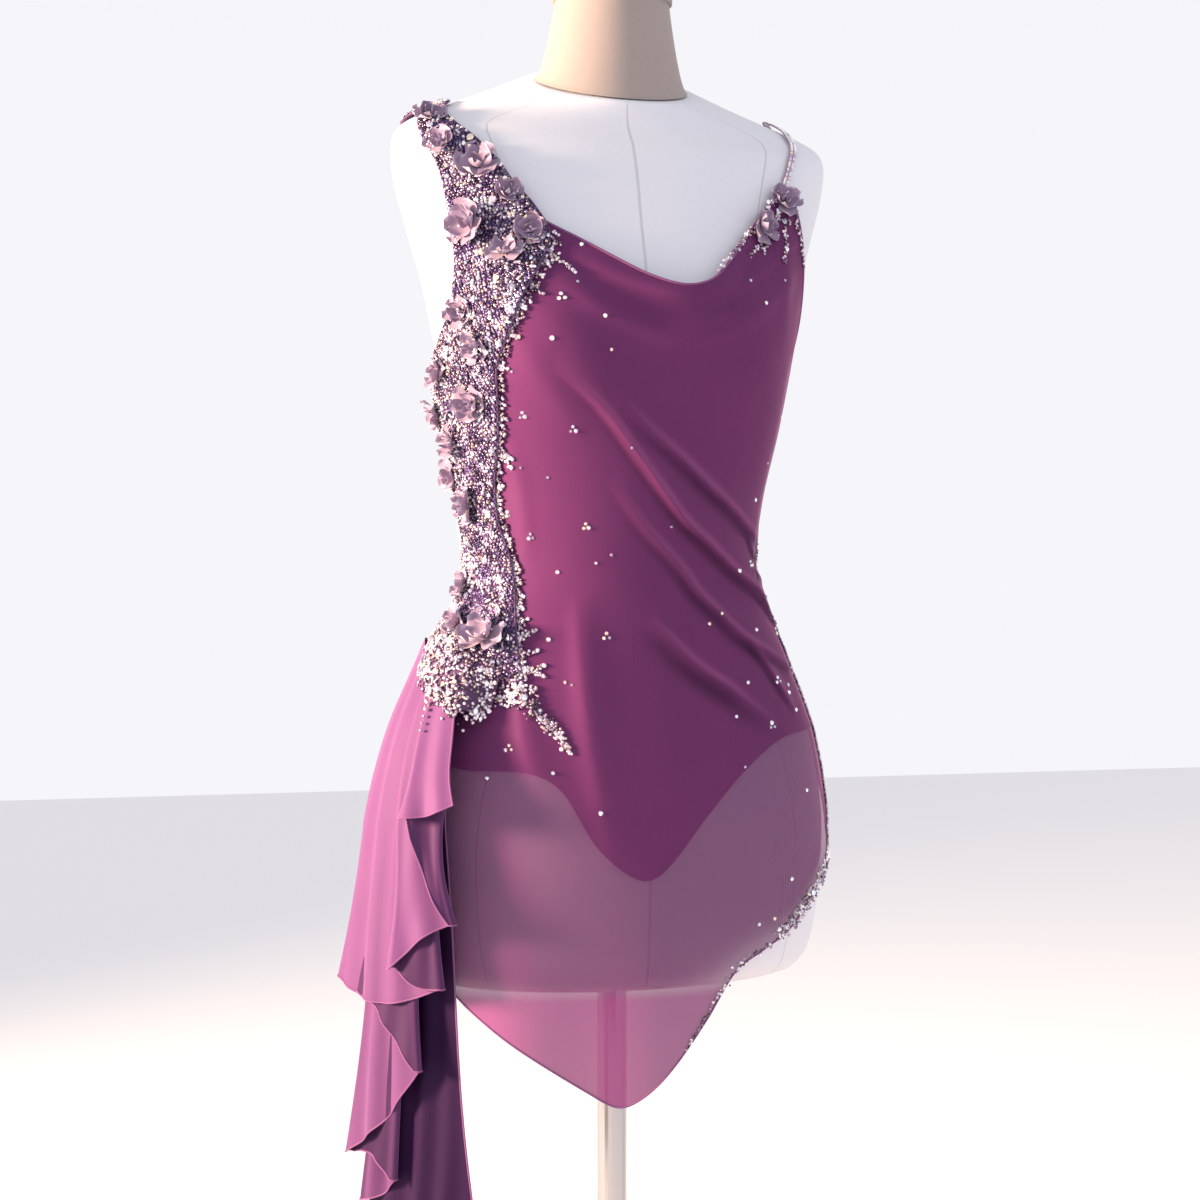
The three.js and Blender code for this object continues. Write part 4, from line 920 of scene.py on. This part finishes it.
def bead_tree():
    """Sets one shape on every point, turned to the point's own way out, spun, sized and toned at random."""
    tree = bpy.data.node_groups.new("beads on places", "GeometryNodeTree")
    face, names = tree.interface, {}
    face.new_socket("Geometry", in_out="INPUT", socket_type="NodeSocketGeometry")
    for label, kind in (
        ("Shape", "NodeSocketObject"), ("Smallest", "NodeSocketFloat"), ("Largest", "NodeSocketFloat"),
        ("Lean", "NodeSocketFloat"), ("Seed", "NodeSocketInt"), ("Finish", "NodeSocketMaterial"),
    ):
        names[label] = face.new_socket(label, in_out="INPUT", socket_type=kind).identifier
    face.new_socket("Geometry", in_out="OUTPUT", socket_type="NodeSocketGeometry")
    enter = add_node(tree, "NodeGroupInput").outputs
    seed = {"Seed": enter["Seed"]}
    named = {"data_type": "FLOAT_VECTOR", "Name": "way_out"}
    way_out = add_node(tree, "GeometryNodeInputNamedAttribute", named).outputs["Attribute"]
    any_way = {"data_type": "FLOAT_VECTOR", 0: (-1, -1, -1), 1: (1, 1, 1)}
    loose = add_node(tree, "FunctionNodeRandomValue", any_way, seed)
    lean = {0: loose, "Scale": enter["Lean"]}
    leaning = add_node(tree, "ShaderNodeVectorMath", {"operation": "SCALE"}, lean)
    aim = add_node(tree, "ShaderNodeVectorMath", {"operation": "ADD"}, {0: way_out, 1: leaning})
    facing = add_node(tree, "FunctionNodeAlignRotationToVector", {"axis": "Z"}, {"Vector": aim})
    full_turn = {"data_type": "FLOAT", 2: 0.0, 3: 6.2832}
    spin = add_node(tree, "FunctionNodeRandomValue", full_turn, seed)
    about = add_node(tree, "FunctionNodeAxisAngleToRotation", {"Axis": (0, 0, 1)}, {"Angle": spin})
    spun = {"Rotation": facing, "Rotate By": about}
    rotation = add_node(tree, "FunctionNodeRotateRotation", {"rotation_space": "LOCAL"}, spun)
    between = {2: enter["Smallest"], 3: enter["Largest"], **seed}
    size = add_node(tree, "FunctionNodeRandomValue", {"data_type": "FLOAT"}, between)
    shape = add_node(tree, "GeometryNodeObjectInfo", links={"Object": enter["Shape"]}).outputs["Geometry"]
    each = {"Points": enter["Geometry"], "Instance": shape, "Rotation": rotation, "Scale": size}
    placed = add_node(tree, "GeometryNodeInstanceOnPoints", links=each)
    # beads that lie near each other are of like tone, with some strays
    single = add_node(tree, "FunctionNodeRandomValue", {"data_type": "FLOAT"}, seed)
    place = add_node(tree, "GeometryNodeInputPosition")
    patch = add_node(tree, "ShaderNodeTexNoise", {"Scale": 75.0, "Detail": 1.0}, {"Vector": place})
    widened = {"From Min": 0.32, "From Max": 0.68, "To Min": -0.38, "To Max": 0.38, "clamp": False}
    shift = add_node(tree, "ShaderNodeMapRange", widened, {"Value": patch})
    tone = add_node(tree, "ShaderNodeMath", {"operation": "ADD", "use_clamp": True}, {0: single, 1: shift})
    stored = {"data_type": "FLOAT", "domain": "INSTANCE", "Name": "tone"}
    toned = add_node(tree, "GeometryNodeStoreNamedAttribute", stored, {"Geometry": placed, "Value": tone})
    real = add_node(tree, "GeometryNodeRealizeInstances", links={"Geometry": toned})
    done = add_node(tree, "GeometryNodeSetMaterial", links={"Geometry": real, "Material": enter["Finish"]})
    add_node(tree, "NodeGroupOutput", links={0: done})
    return tree, names


beads_on_places, bead_input = bead_tree()


def beads(name, places, shape, smallest, largest, finish, seed, lean=0.15, slot="beaded_band"):
    """A plain mesh of one kind of bead at places in millimetres, each with its way out."""
    points, ways = (np.concatenate([np.asarray(p[k], float).reshape(-1, 3) for p in places]) for k in (0, 1))
    cloud = bpy.data.meshes.new(name + "_places")
    cloud.from_pydata((points / 1000).tolist(), [], [])
    outwards = cloud.attributes.new("way_out", "FLOAT_VECTOR", "POINT")
    outwards.data.foreach_set("vector", ways.astype(np.float32).ravel())
    carrier = new_object(name + "_places", cloud)
    modifier = carrier.modifiers.new("beads", "NODES")
    modifier.node_group = beads_on_places
    for label, value in (
        ("Shape", shape), ("Smallest", smallest / 1000), ("Largest", largest / 1000),
        ("Lean", lean), ("Seed", seed), ("Finish", finish),
    ):
        modifier[bead_input[label]] = value
    graph = bpy.context.evaluated_depsgraph_get()
    made = carrier.evaluated_get(graph)
    mesh = bpy.data.meshes.new_from_object(made, preserve_all_data_layers=True, depsgraph=graph)
    bpy.data.objects.remove(carrier)
    mesh.name = name
    obj = new_object(name, mesh)
    fasten(obj, slot)
    return obj


def bead_material(name, colours, metallic, roughness, film):
    """Glass or foil in a mix of close tones, each bead one tone, under a thin shimmering film."""
    material, tree, shader = principled(name, colours[0], metallic=metallic, roughness=roughness)
    tone = add_node(tree, "ShaderNodeAttribute", {"attribute_name": "tone"}).outputs["Fac"]
    ramp = add_node(tree, "ShaderNodeValToRGB", links={0: tone}, to=shader.inputs["Base Color"]).color_ramp
    ramp.interpolation = "CONSTANT"
    while len(ramp.elements) < len(colours):
        ramp.elements.new(0.5)
    for k, colour in enumerate(colours):
        ramp.elements[k].position = k / len(colours)
        ramp.elements[k].color = linear(colour)
    shader.inputs["Coat Weight"].default_value = 0.6
    shader.inputs["Coat Roughness"].default_value = 0.06
    shader.inputs["Thin Film Thickness"].default_value = film
    shader.inputs["Thin Film IOR"].default_value = 1.45
    return material


# Silver-lined and pearl glass: most pale, some dusty lilac and gold, a few dark ones for depth.
seed_glass = bead_material(
    "silver-lined glass seed beads",
    [
        "#3C2A40", "#57405C", "#745A78", "#876E86", "#9A8196", "#A38C9E", "#B09AB6", "#BFA9A0", "#CBBBD0",
        "#E8DFEA",
    ],
    0.35, 0.2, 380.0,
)
# Cupped sequins in lilac with a pearl face, which flash one at a time.
sequin_film = bead_material(
    "lilac pearl sequins", ["#47356A", "#5D4A86", "#6E5A98", "#7B6790", "#8F78AE", "#B6A4CC"], 0.5, 0.3, 420.0
)
# Foil-backed crystal: nearly white, hard and bright.
crystal_foil = bead_material(
    "foil-backed crystal stones", ["#B9B4C8", "#DCE6F6", "#F6E9D6", "#F3F0FA", "#FFFFFF"], 0.75, 0.07, 460.0
)


def band_places(gap, lift, keep):
    """Rows of places across the band, each a little out of line and as far apart as gap, of which the
    share keep is used."""
    steps = np.linspace(0, BAND_END, 1200)
    outer, inner = (on_band(steps, np.full(len(steps), share))[0] for share in (0.0, 1.0))
    length, width = reached_along((outer + inner) / 2), np.linalg.norm(outer - inner, axis=1)
    found = []
    for row, reached in enumerate(np.arange(0, length[-1], gap * 0.87)):
        k = np.searchsorted(length, reached)
        count = max(2, int(width[k] / gap))
        share = (np.arange(count) + 0.5 * (row % 2) + chance.uniform(-0.22, 0.22, count)) / count
        at = steps[k] + chance.uniform(-0.2, 0.2, count) * gap * BAND_END / length[-1]
        inside = (share > 0.01) & (share < 1.0) & (chance.random(count) < keep)
        found.append((at[inside], share[inside]))
    at, share = (np.concatenate([f[k] for f in found]) for k in (0, 1))
    return on_band(np.clip(at, 0, BAND_END), share, lift)[:2]


def strewn(line, gap, start_width, end_width, crowd=1.0, lift=1.0):
    """Places strewn over the front along a line of (angle, height), as far to each side of it as the
    two widths say."""
    line = np.array(line, float) * [MM_PER_DEGREE, 1]
    length = np.concatenate([[0], np.cumsum(np.hypot(*np.diff(line, axis=0).T))])
    mean = max((start_width + end_width) * 1.1 / gap, 1)
    count = max(2, int(length[-1] / gap * mean * crowd))
    reached = np.linspace(0, length[-1], count) + chance.uniform(-0.3, 0.3, count) * gap
    wide = start_width + (end_width - start_width) * np.clip(reached / length[-1], 0, 1) + 0.25
    a = np.interp(reached, length, line[:, 0]) + chance.uniform(-1, 1, count) * wide
    h = np.interp(reached, length, line[:, 1]) + chance.uniform(-1, 1, count) * wide
    return on_front(a / MM_PER_DEGREE, h, lift)


def scattered(ground, count, ends, shares, lift):
    """Places at random on the band or its cap, between two ends and two shares of the way across."""
    return ground(chance.uniform(*ends, count), chance.uniform(*shares, count), lift)[:2]


# sprigs that leave the band and run out over the mesh, each from its root to its tip
SPRIGS = [
    [(-33, 640), (-31, 625), (-28, 609)], [(-29, 596), (-25.7, 581.9), (-21.2, 569.6)],
    [(-31, 588), (-28.2, 576)], [(-35.3, 570.3), (-34.1, 557.7)], [(-36, 562), (-31.5, 551)],
    [(-41.1, 547.3), (-38.0, 541.2)], [(-43.9, 537.4), (-41.2, 527.8)], [(-46, 531), (-40.5, 519)],
    [(-50.6, 516.4), (-46.7, 507.9)], [(-50, 502), (-45, 496)], [(-53.2, 480.7), (-48.6, 470.0)],
    [(-52, 465), (-46.5, 458)], [(-53.3, 443.4), (-50.6, 433.5), (-46.6, 426.8)], [(-52, 436), (-48, 420)],
    [(-57.9, 420.1), (-53.2, 406.7)], [(-58.9, 395.8), (-55.0, 383.5)], [(-58, 375), (-53.5, 362)],
    [(-55.4, 356.6), (-50.5, 338.6)], [(-53.3, 341.5), (-47.3, 327.1)], [(-51, 322), (-45.9, 317.6)],
    [(-48, 312), (-43.4, 306)], [(-45.9, 296.1), (-40.4, 297.8)], [(-42, 284), (-36, 289)],
    [(-40.7, 267.6), (-34.4, 272.8)], [(-38.8, 261.3), (-30.4, 252.6)], [(-37, 254), (-31, 262)],
]
# a long tongue of beads from the band's end down over the skirt
TONGUE = [(-43.4, 278.5), (-41.7, 257.3), (-36.1, 237.9), (-28.2, 217.3), (-22.9, 203.6), (-20.6, 193.0)]
# the open left edge, from the gathers at the waist down and round to the pointed hem
SLIT = [(77, 352), (76.4, 322), (76, 290), (75.8, 250), (75.8, 205), (75.6, 162), (74.5, 137), (72, 114)]
HEM_BEADS = [
    (73.5, 110), (64.3, 93.2), (56.6, 80), (47.1, 60.5), (36.3, 42.9), (29.3, 33.0), (23.1, 22.9),
    (19.2, 6.7), (14.2, -14.8), (8.2, -41.3),
]
HEM_DENSE = HEM_BEADS[:5]
# the fan of beads under the left strap
FANS = [
    [(39.6, 656.2), (36.8, 642.7), (33.1, 623.6), (28.6, 605.5), (24.0, 588.7), (19.7, 573.7)],
    [(41.0, 646.0), (38.3, 625.1), (34.2, 605.0), (30.3, 591.6)],
    [(42.6, 647.2), (43.0, 629.7), (42.8, 611.7), (43.4, 592.2)],
    [(43.9, 645.9), (48.7, 625.2), (53.2, 609.7), (57.5, 594.8)],
    [(40, 640), (37, 615), (35.5, 598)],
]
# the band's inner edge, which the seed beads hide
INNER_EDGE = [
    (-27, 606), (-24.5, 592), (-30, 575), (-37, 549), (-42, 525), (-48, 501), (-48.5, 474), (-50, 445),
    (-55, 411), (-56.5, 380), (-51.5, 348), (-45.5, 309), (-36.5, 250),
]
# patches where the sequins lie bare in their rows: angle, height, radius
BARE = [
    (-41.5, 668, 8), (-34.5, 668, 8), (-38.5, 651, 9), (-45.5, 683, 7), (-47, 703, 8), (-58, 715, 7),
    (-30, 661, 6), (-66, 308, 12), (-66, 336, 9), (-75, 470, 8), (-70, 420, 7), (-88, 445, 7),
    (-66, 372, 7), (-50, 590, 7),
]
seeds_on_band = band_places(2.9, BAND_WALL + 1.0, 0.8)
clear = np.ones(len(seeds_on_band[0]), bool)
for angle, h, radius in BARE:
    clear &= np.linalg.norm(seeds_on_band[0] - on_form(angle, h, 6), axis=1) > radius
seeds_on_band = tuple(part[clear] for part in seeds_on_band)
seed_beads = beads("band_seed_beads", [seeds_on_band], seed_shape, 0.85, 1.55, seed_glass, 11, lean=0.5)
seed_places = [strewn(sprig, 2.0, 4.2, 0.5, 1.25) for sprig in SPRIGS]
seed_places += [strewn(INNER_EDGE, 2.0, 4.5, 4.5, 0.8, lift=1.6), strewn(TONGUE, 2.1, 13, 0.8, 1.15, lift=1.2)]
seed_places += [strewn(SLIT, 2.4, 12, 12, 0.75), strewn(SLIT[4:], 2.4, 9, 9)]
seed_places += [strewn(HEM_DENSE, 2.2, 7, 5, 1.2), strewn(HEM_BEADS[4:], 2.8, 4, 0.6)]
seed_places += [strewn(fan, 2.3, 3.0, 1.4) for fan in FANS]
sprig_beads = beads("sprig_seed_beads", seed_places, seed_shape, 0.85, 1.6, seed_glass, 19, lean=0.5)

sequin_places = band_places(2.7, BAND_WALL + 0.3, 0.97)
sequins = beads("sequins", [sequin_places], sequin_shape, 1.25, 1.6, sequin_film, 12, lean=0.35)

# single stones and threes over the front of the dress
SCATTER = [
    (-18.0, 593.0), (-21.2, 561.3), (-14.7, 535.0), (-30.7, 517.9), (-12.9, 510.1), (-43.9, 494.4),
    (-44.3, 420.3), (-34.6, 411.9), (-17.8, 343.6), (-32.3, 336.1), (-44.7, 316.1), (-31.4, 281.9),
    (-24.1, 248.4), (-22.0, 246.0), (-24.9, 178.2), (-42.5, 173.6), (-12.8, 146.8), (26.7, 178.8),
    (30.5, 570.2), (44.0, 575.5), (35.8, 552.4), (35.0, 601.6), (35.8, 596.6), (41.2, 337.6), (62.3, 314.2),
    (28.8, 301.5), (24.0, 294.3), (44.9, 287.7), (55.7, 241.9), (53.2, 235.6), (33.5, 246.0), (26.4, 219.4),
    (54.8, 221.2), (50.6, 155.4), (41.3, 85.1), (29.1, 52.2), (34.2, 55.4), (-5.8, 436.0), (54.3, 398.5),
    (10.5, 373.4), (-12.0, 350.2), (66, 470), (60, 430), (70, 255), (74, 200),
]
THREES = [
    (-26.5, 549.4), (-41.3, 460.7), (-24.6, 449.2), (-43.3, 365.1), (-21.5, 372.8), (-12.7, 284.5),
    (-22.3, 198.2), (-37.3, 197.1), (52.9, 344.0), (70, 285.8), (47.9, 246.1), (39.0, 210.5),
    (-53.1, 383.2),
]
triple = [(a + da, h + dh) for a, h in THREES for da, dh in ((0, 2.2), (-0.8, -1.4), (0.9, -1.0))]
stone_places = [on_front(*np.array(SCATTER + triple).T, 0.3)]
for line in (TONGUE, HEM_DENSE, SLIT, SLIT[3:], FANS[0], FANS[2]):
    stone_places.append(strewn(line, 11, 5, 3, lift=1.2))
stone_places.append(scattered(on_band, 150, (1.5, BAND_END), (0.05, 1.0), BAND_WALL + 1.6))
stone_places += [strewn(sprig, 6, 2.5, 0.5, lift=1.2) for sprig in SPRIGS]
small_stones = beads("crystal_stones", stone_places, stone_shape, 1.3, 2.1, crystal_foil, 13, lean=0.2)

# a beaded cap of the same net lies over the gathered top of the drape: angle, its upper and lower
# edge, and how far out it stands at its lower edge
CAP = [
    (-97, 300, 280, 8), (-90, 300, 270, 13), (-84, 298, 262, 15), (-76, 294, 252, 18.5),
    (-68, 288, 242, 22), (-61, 280, 233, 25.5), (-55, 272, 226, 26.5), (-51, 266, 222, 24),
    (-47, 260, 222, 12), (-44, 257, 224, 8.5),
]
CAP_ENDS = (-97, -44)
CAP_TOP_OUT = 8.2


def cap_place(angle, share):
    high, low, out = (through(CAP, k, angle) for k in (1, 2, 3))
    swell = np.sin(np.clip(share, 0, 1) * math.pi / 2)
    return on_form(angle, high + (low - high) * share, CAP_TOP_OUT + (out - CAP_TOP_OUT) * swell, True)


def on_cap(angle, share, lift=0.0):
    """A place on the cap, from its angle and how far down it is, and the way out from it."""
    round_it = cap_place(angle + 0.3, share) - cap_place(angle - 0.3, share)
    up_it = cap_place(angle, share - 0.01) - cap_place(angle, share + 0.01)
    way = unit(np.cross(round_it, up_it))
    return cap_place(angle, share) + way * lift, way


CAP_ANGLE, CAP_SHARE = np.meshgrid(np.linspace(*CAP_ENDS, 80), np.linspace(0, 1, 26))
cap_points, _ = on_cap(CAP_ANGLE, CAP_SHARE)
drape_cap = cloth_grid("drape_cap", cap_points, CAP_ANGLE, cap_points[..., 2], band_net)
fasten(drape_cap, "beaded_band")
cap_places = [scattered(on_cap, 1500, CAP_ENDS, (0.0, 1.05), 1.0)]
RAGGED = 260
cap_places.append(on_cap(chance.uniform(-92, -45, RAGGED), 1.0 + np.abs(chance.normal(0, 0.10, RAGGED)), 1.2))
cap_places.append(strewn([(-45, 236), (-33, 238)], 2.2, 9, 6, lift=1.2))
cap_beads = beads("drape_cap_beads", cap_places, seed_shape, 0.9, 1.6, seed_glass, 21, lean=0.5)
cap_places = [scattered(on_cap, 45, (-92, -46), (0.1, 1.1), 1.6)]
cap_stones = beads("drape_cap_stones", cap_places, stone_shape, 1.4, 2.8, crystal_foil, 22, lean=0.3)
cap_places = [scattered(on_cap, 26, (-85, -46), (0.75, 1.15), 2.0)]
cap_drops = beads("drape_cap_drops", cap_places, drop_shape, 2.0, 3.0, crystal_foil, 23, lean=0.6)

# larger stones set among the beads: how far along and across the band they are, and a few on the mesh
BIG_STONES = [
    (2.9, 0.72), (3.4, 0.45), (4.5, 0.35), (5.3, 0.9), (6.5, 0.4), (7.6, 0.62), (8.4, 0.85), (9.1, 0.93),
    (9.3, 0.35), (10.2, 0.6), (10.6, 0.85), (11.3, 0.95), (12.3, 0.96), (13.6, 0.72), (15.2, 0.96),
    (16.8, 0.9), (18.0, 0.7), (18.5, 0.86), (18.9, 0.45), (19.3, 0.9), (19.5, 0.3), (19.7, 0.6),
    (19.85, 0.82),
]
BIG_ON_MESH = [(-40, 262), (-35, 236), (39, 636), (41.5, 628), (66, 97), (52, 70)]
big_places = [on_band(*np.array(BIG_STONES).T, BAND_WALL + 1.4)[:2], on_front(*np.array(BIG_ON_MESH).T, 1.2)]
big_stones = beads("large_crystals", big_places, stone_shape, 2.6, 3.4, crystal_foil, 14, lean=0.2)

drop_places = [scattered(on_band, 60, (8, BAND_END), (0.3, 1.0), BAND_WALL + 1.8)]
drop_places.append(strewn([(-62, 236), (-52, 232), (-42, 236), (-37, 242)], 5, 3, 3, lift=3.0))
drop_places.append(strewn(HEM_DENSE, 9, 5, 4))
drops = beads("glass_drops", drop_places, drop_shape, 2.0, 2.8, crystal_foil, 15, lean=0.6)

# two rows of stones on the left strap, and a string of beads that hangs beside the drape
strap_points, strap_ways, strap_side = strap_line(LEFT_STRAP, 190)
strap_places = [(strap_points + strap_ways * 1.5 + strap_side * offset, strap_ways) for offset in (-1.6, 1.6)]
strap_stones = beads(
    "left_strap_stones", strap_places, stone_shape, 1.15, 1.35, crystal_foil, 16, lean=0.05,
    slot="beaded_strap",
)
STRING_BEADS = 6
string_h = np.linspace(229, 204, STRING_BEADS)
string_out = np.linspace(28.5, 31.5, STRING_BEADS)
string_line = on_form(np.linspace(-61.5, -60, STRING_BEADS), string_h, string_out, True)
string_ways = skin_normal(np.full(STRING_BEADS, -60.0), string_h, True)
string_beads = beads("hanging_string", [(string_line, string_ways)], seed_shape, 1.2, 1.9, crystal_foil, 17)


# ---------------------------------------------------------------- organza flowers
# Twenty small flowers cut from mauve organza. Round petals are heat-cupped and stitched at the root
# in two or three rings, so that the inner ones stand up, and a few beads cover the stitches.

# angle, height, radius and the way it leans. The two on the left, which come last, sit on the mesh and
# the others on the band.
FLOWERS = [
    (-57, 709, 11, 10), (-49, 681, 10.5, 150), (-40, 659, 15, 80), (-34, 636, 9.5, 30), (-47, 613, 15, 200),
    (-31, 603, 11.5, 300), (-39, 586, 11.5, 100), (-58, 543, 11, 40), (-54, 517, 12, 220),
    (-77, 501, 11.5, 120), (-60, 472, 12.5, 20), (-90, 470, 12, 260), (-77, 444, 11.5, 70),
    (-86, 419, 11, 330), (-74, 394, 12.5, 170), (-82, 324, 11, 60), (-55, 283, 18, 90), (-73, 292, 13, 240),
    (40.5, 645, 11.5, 140), (34, 619, 12, 350),
]
# petals in a ring, their length and width as shares of the radius, how far they rise, and how cupped
PETAL_RINGS = [(3, 1.3, 2.35, 18, 0.26), (3, 1.02, 1.9, 44, 0.36), (2, 0.74, 1.3, 70, 0.5)]
LEANS_BY = 0.28
CENTRE = {"beads": 5, "radius": 1.7, "up": 2.2, "top": 3.2}

# Crisp dyed organza: pale and dry where light strikes it, with a soft edge glow.
organza, tree, shader = principled("mauve silk organza", "#8C7890", roughness=0.6)
shader.inputs["Sheen Weight"].default_value = 0.6
shader.inputs["Sheen Tint"].default_value = linear("#F2DCE6")
place = add_node(tree, "ShaderNodeTexCoord").outputs["Object"]
cloudy = add_node(tree, "ShaderNodeTexNoise", {"Scale": 70.0, "Detail": 2.0}, {"Vector": place})
rim = add_node(tree, "ShaderNodeAttribute", {"attribute_name": "rim"}).outputs["Fac"]
mauves = {"data_type": "RGBA", 6: linear("#7C6884"), 7: linear("#9A86A2")}
dyed = add_node(tree, "ShaderNodeMix", mauves, {0: cloudy})
pale = {"data_type": "RGBA", 7: linear("#CBBBD0")}
add_node(tree, "ShaderNodeMix", pale, {0: rim, 6: dyed}, shader.inputs["Base Color"])


def petal(length, width, rise, cup, wave):
    """A round petal from its root at the origin, bent up by rise degrees and hollowed by cup, and how
    near each of its points is to the rim."""
    u = np.linspace(0.04, 0.985, 8)[:, None]
    v = np.linspace(-1, 1, 9)[None, :]
    half = width / 2 * (0.22 + 0.78 * u**0.8) * np.sqrt(1 - u**4)
    bend = np.radians(rise) * (0.35 + 0.9 * u)
    x = np.cumsum(np.cos(bend) * np.diff(u, axis=0, prepend=0) * length, axis=0) + 0 * v
    z = np.cumsum(np.sin(bend) * np.diff(u, axis=0, prepend=0) * length, axis=0) + 0 * v
    hollow = cup * length * v**2 * u * (1.1 - 0.4 * u)
    ruffle = 0.06 * length * u**2 * np.sin(2.2 * v + wave)
    curl = -0.10 * length * np.clip(u - 0.75, 0, 1) * 4 * (1 - 0.5 * v**2)
    aside = half * v * (1 - 0.25 * cup * v**2)
    points = np.stack([x - 0.35 * hollow * np.sin(bend), aside, z + hollow + ruffle + curl], -1)
    return points, np.clip((u - 0.86) * 7, 0, 1) + 0 * v


flower_points, flower_faces, flower_rims, centre_places = [], [], [], []
total = 0
band_levels = [((row[1] + row[3]) / 2, row[4]) for row in reversed(SIDE_BAND[2:])]
for angle, h, radius, lean in FLOWERS:
    normal = skin_normal(angle, h)
    if angle < 0:
        root = on_form(angle, h, through(band_levels, 1, h) + BAND_WALL + 0.6)
    else:
        root = on_front([angle], [h], 0.6)[0][0]
    level = unit(np.cross([0.0, 0.0, 1.0], normal))
    up = np.cross(normal, level)
    tilt = math.radians(lean)
    facing = unit(normal + LEANS_BY * (math.cos(tilt) * level + math.sin(tilt) * up))
    level = unit(np.cross(up, facing))
    up = np.cross(facing, level)
    for ring, (count, length, width, rise, hollow) in enumerate(PETAL_RINGS):
        for k in range(count):
            about = tilt + 2 * math.pi * (k + 0.5 * ring) / count + chance.uniform(-0.22, 0.22)
            points, edge = petal(
                radius * length * chance.uniform(0.95, 1.18), radius * width * chance.uniform(0.95, 1.2),
                rise + chance.uniform(-12, 16), hollow * chance.uniform(0.7, 1.3), chance.uniform(0, 6.28),
            )
            x, y, z = np.moveaxis(points, -1, 0)[..., None]
            sin, cos = math.sin(about), math.cos(about)
            placed = root + (x * cos - y * sin) * level + (x * sin + y * cos) * up + z * facing
            rows, columns = placed.shape[:2]
            flower_faces += [tuple(total + n for n in reversed(face)) for face in grid_faces(rows, columns)]
            flower_points.append(placed.reshape(-1, 3))
            flower_rims.append(edge.ravel())
            total += rows * columns
    ring = (np.arange(CENTRE["beads"]) * 2 * math.pi / CENTRE["beads"])[:, None]
    around = root + CENTRE["radius"] * (np.cos(ring) * level + np.sin(ring) * up) + facing * CENTRE["up"]
    centre = np.vstack([around, root + facing * CENTRE["top"]])
    centre_places.append((centre, np.tile(facing, (len(centre), 1))))
flowers = make_object("organza_flowers", np.vstack(flower_points), flower_faces, organza)
set_values(flowers, "rim", np.concatenate(flower_rims))
fasten(flowers, "organza", *[f"flower_{k + 1:02d}" for k in range(len(FLOWERS))])
centres = beads("flower_centres", centre_places, seed_shape, 1.1, 1.7, seed_glass, 18)

for shape in (seed_shape, sequin_shape, stone_shape, drop_shape):
    bpy.data.objects.remove(shape)

bpy.context.view_layer.update()
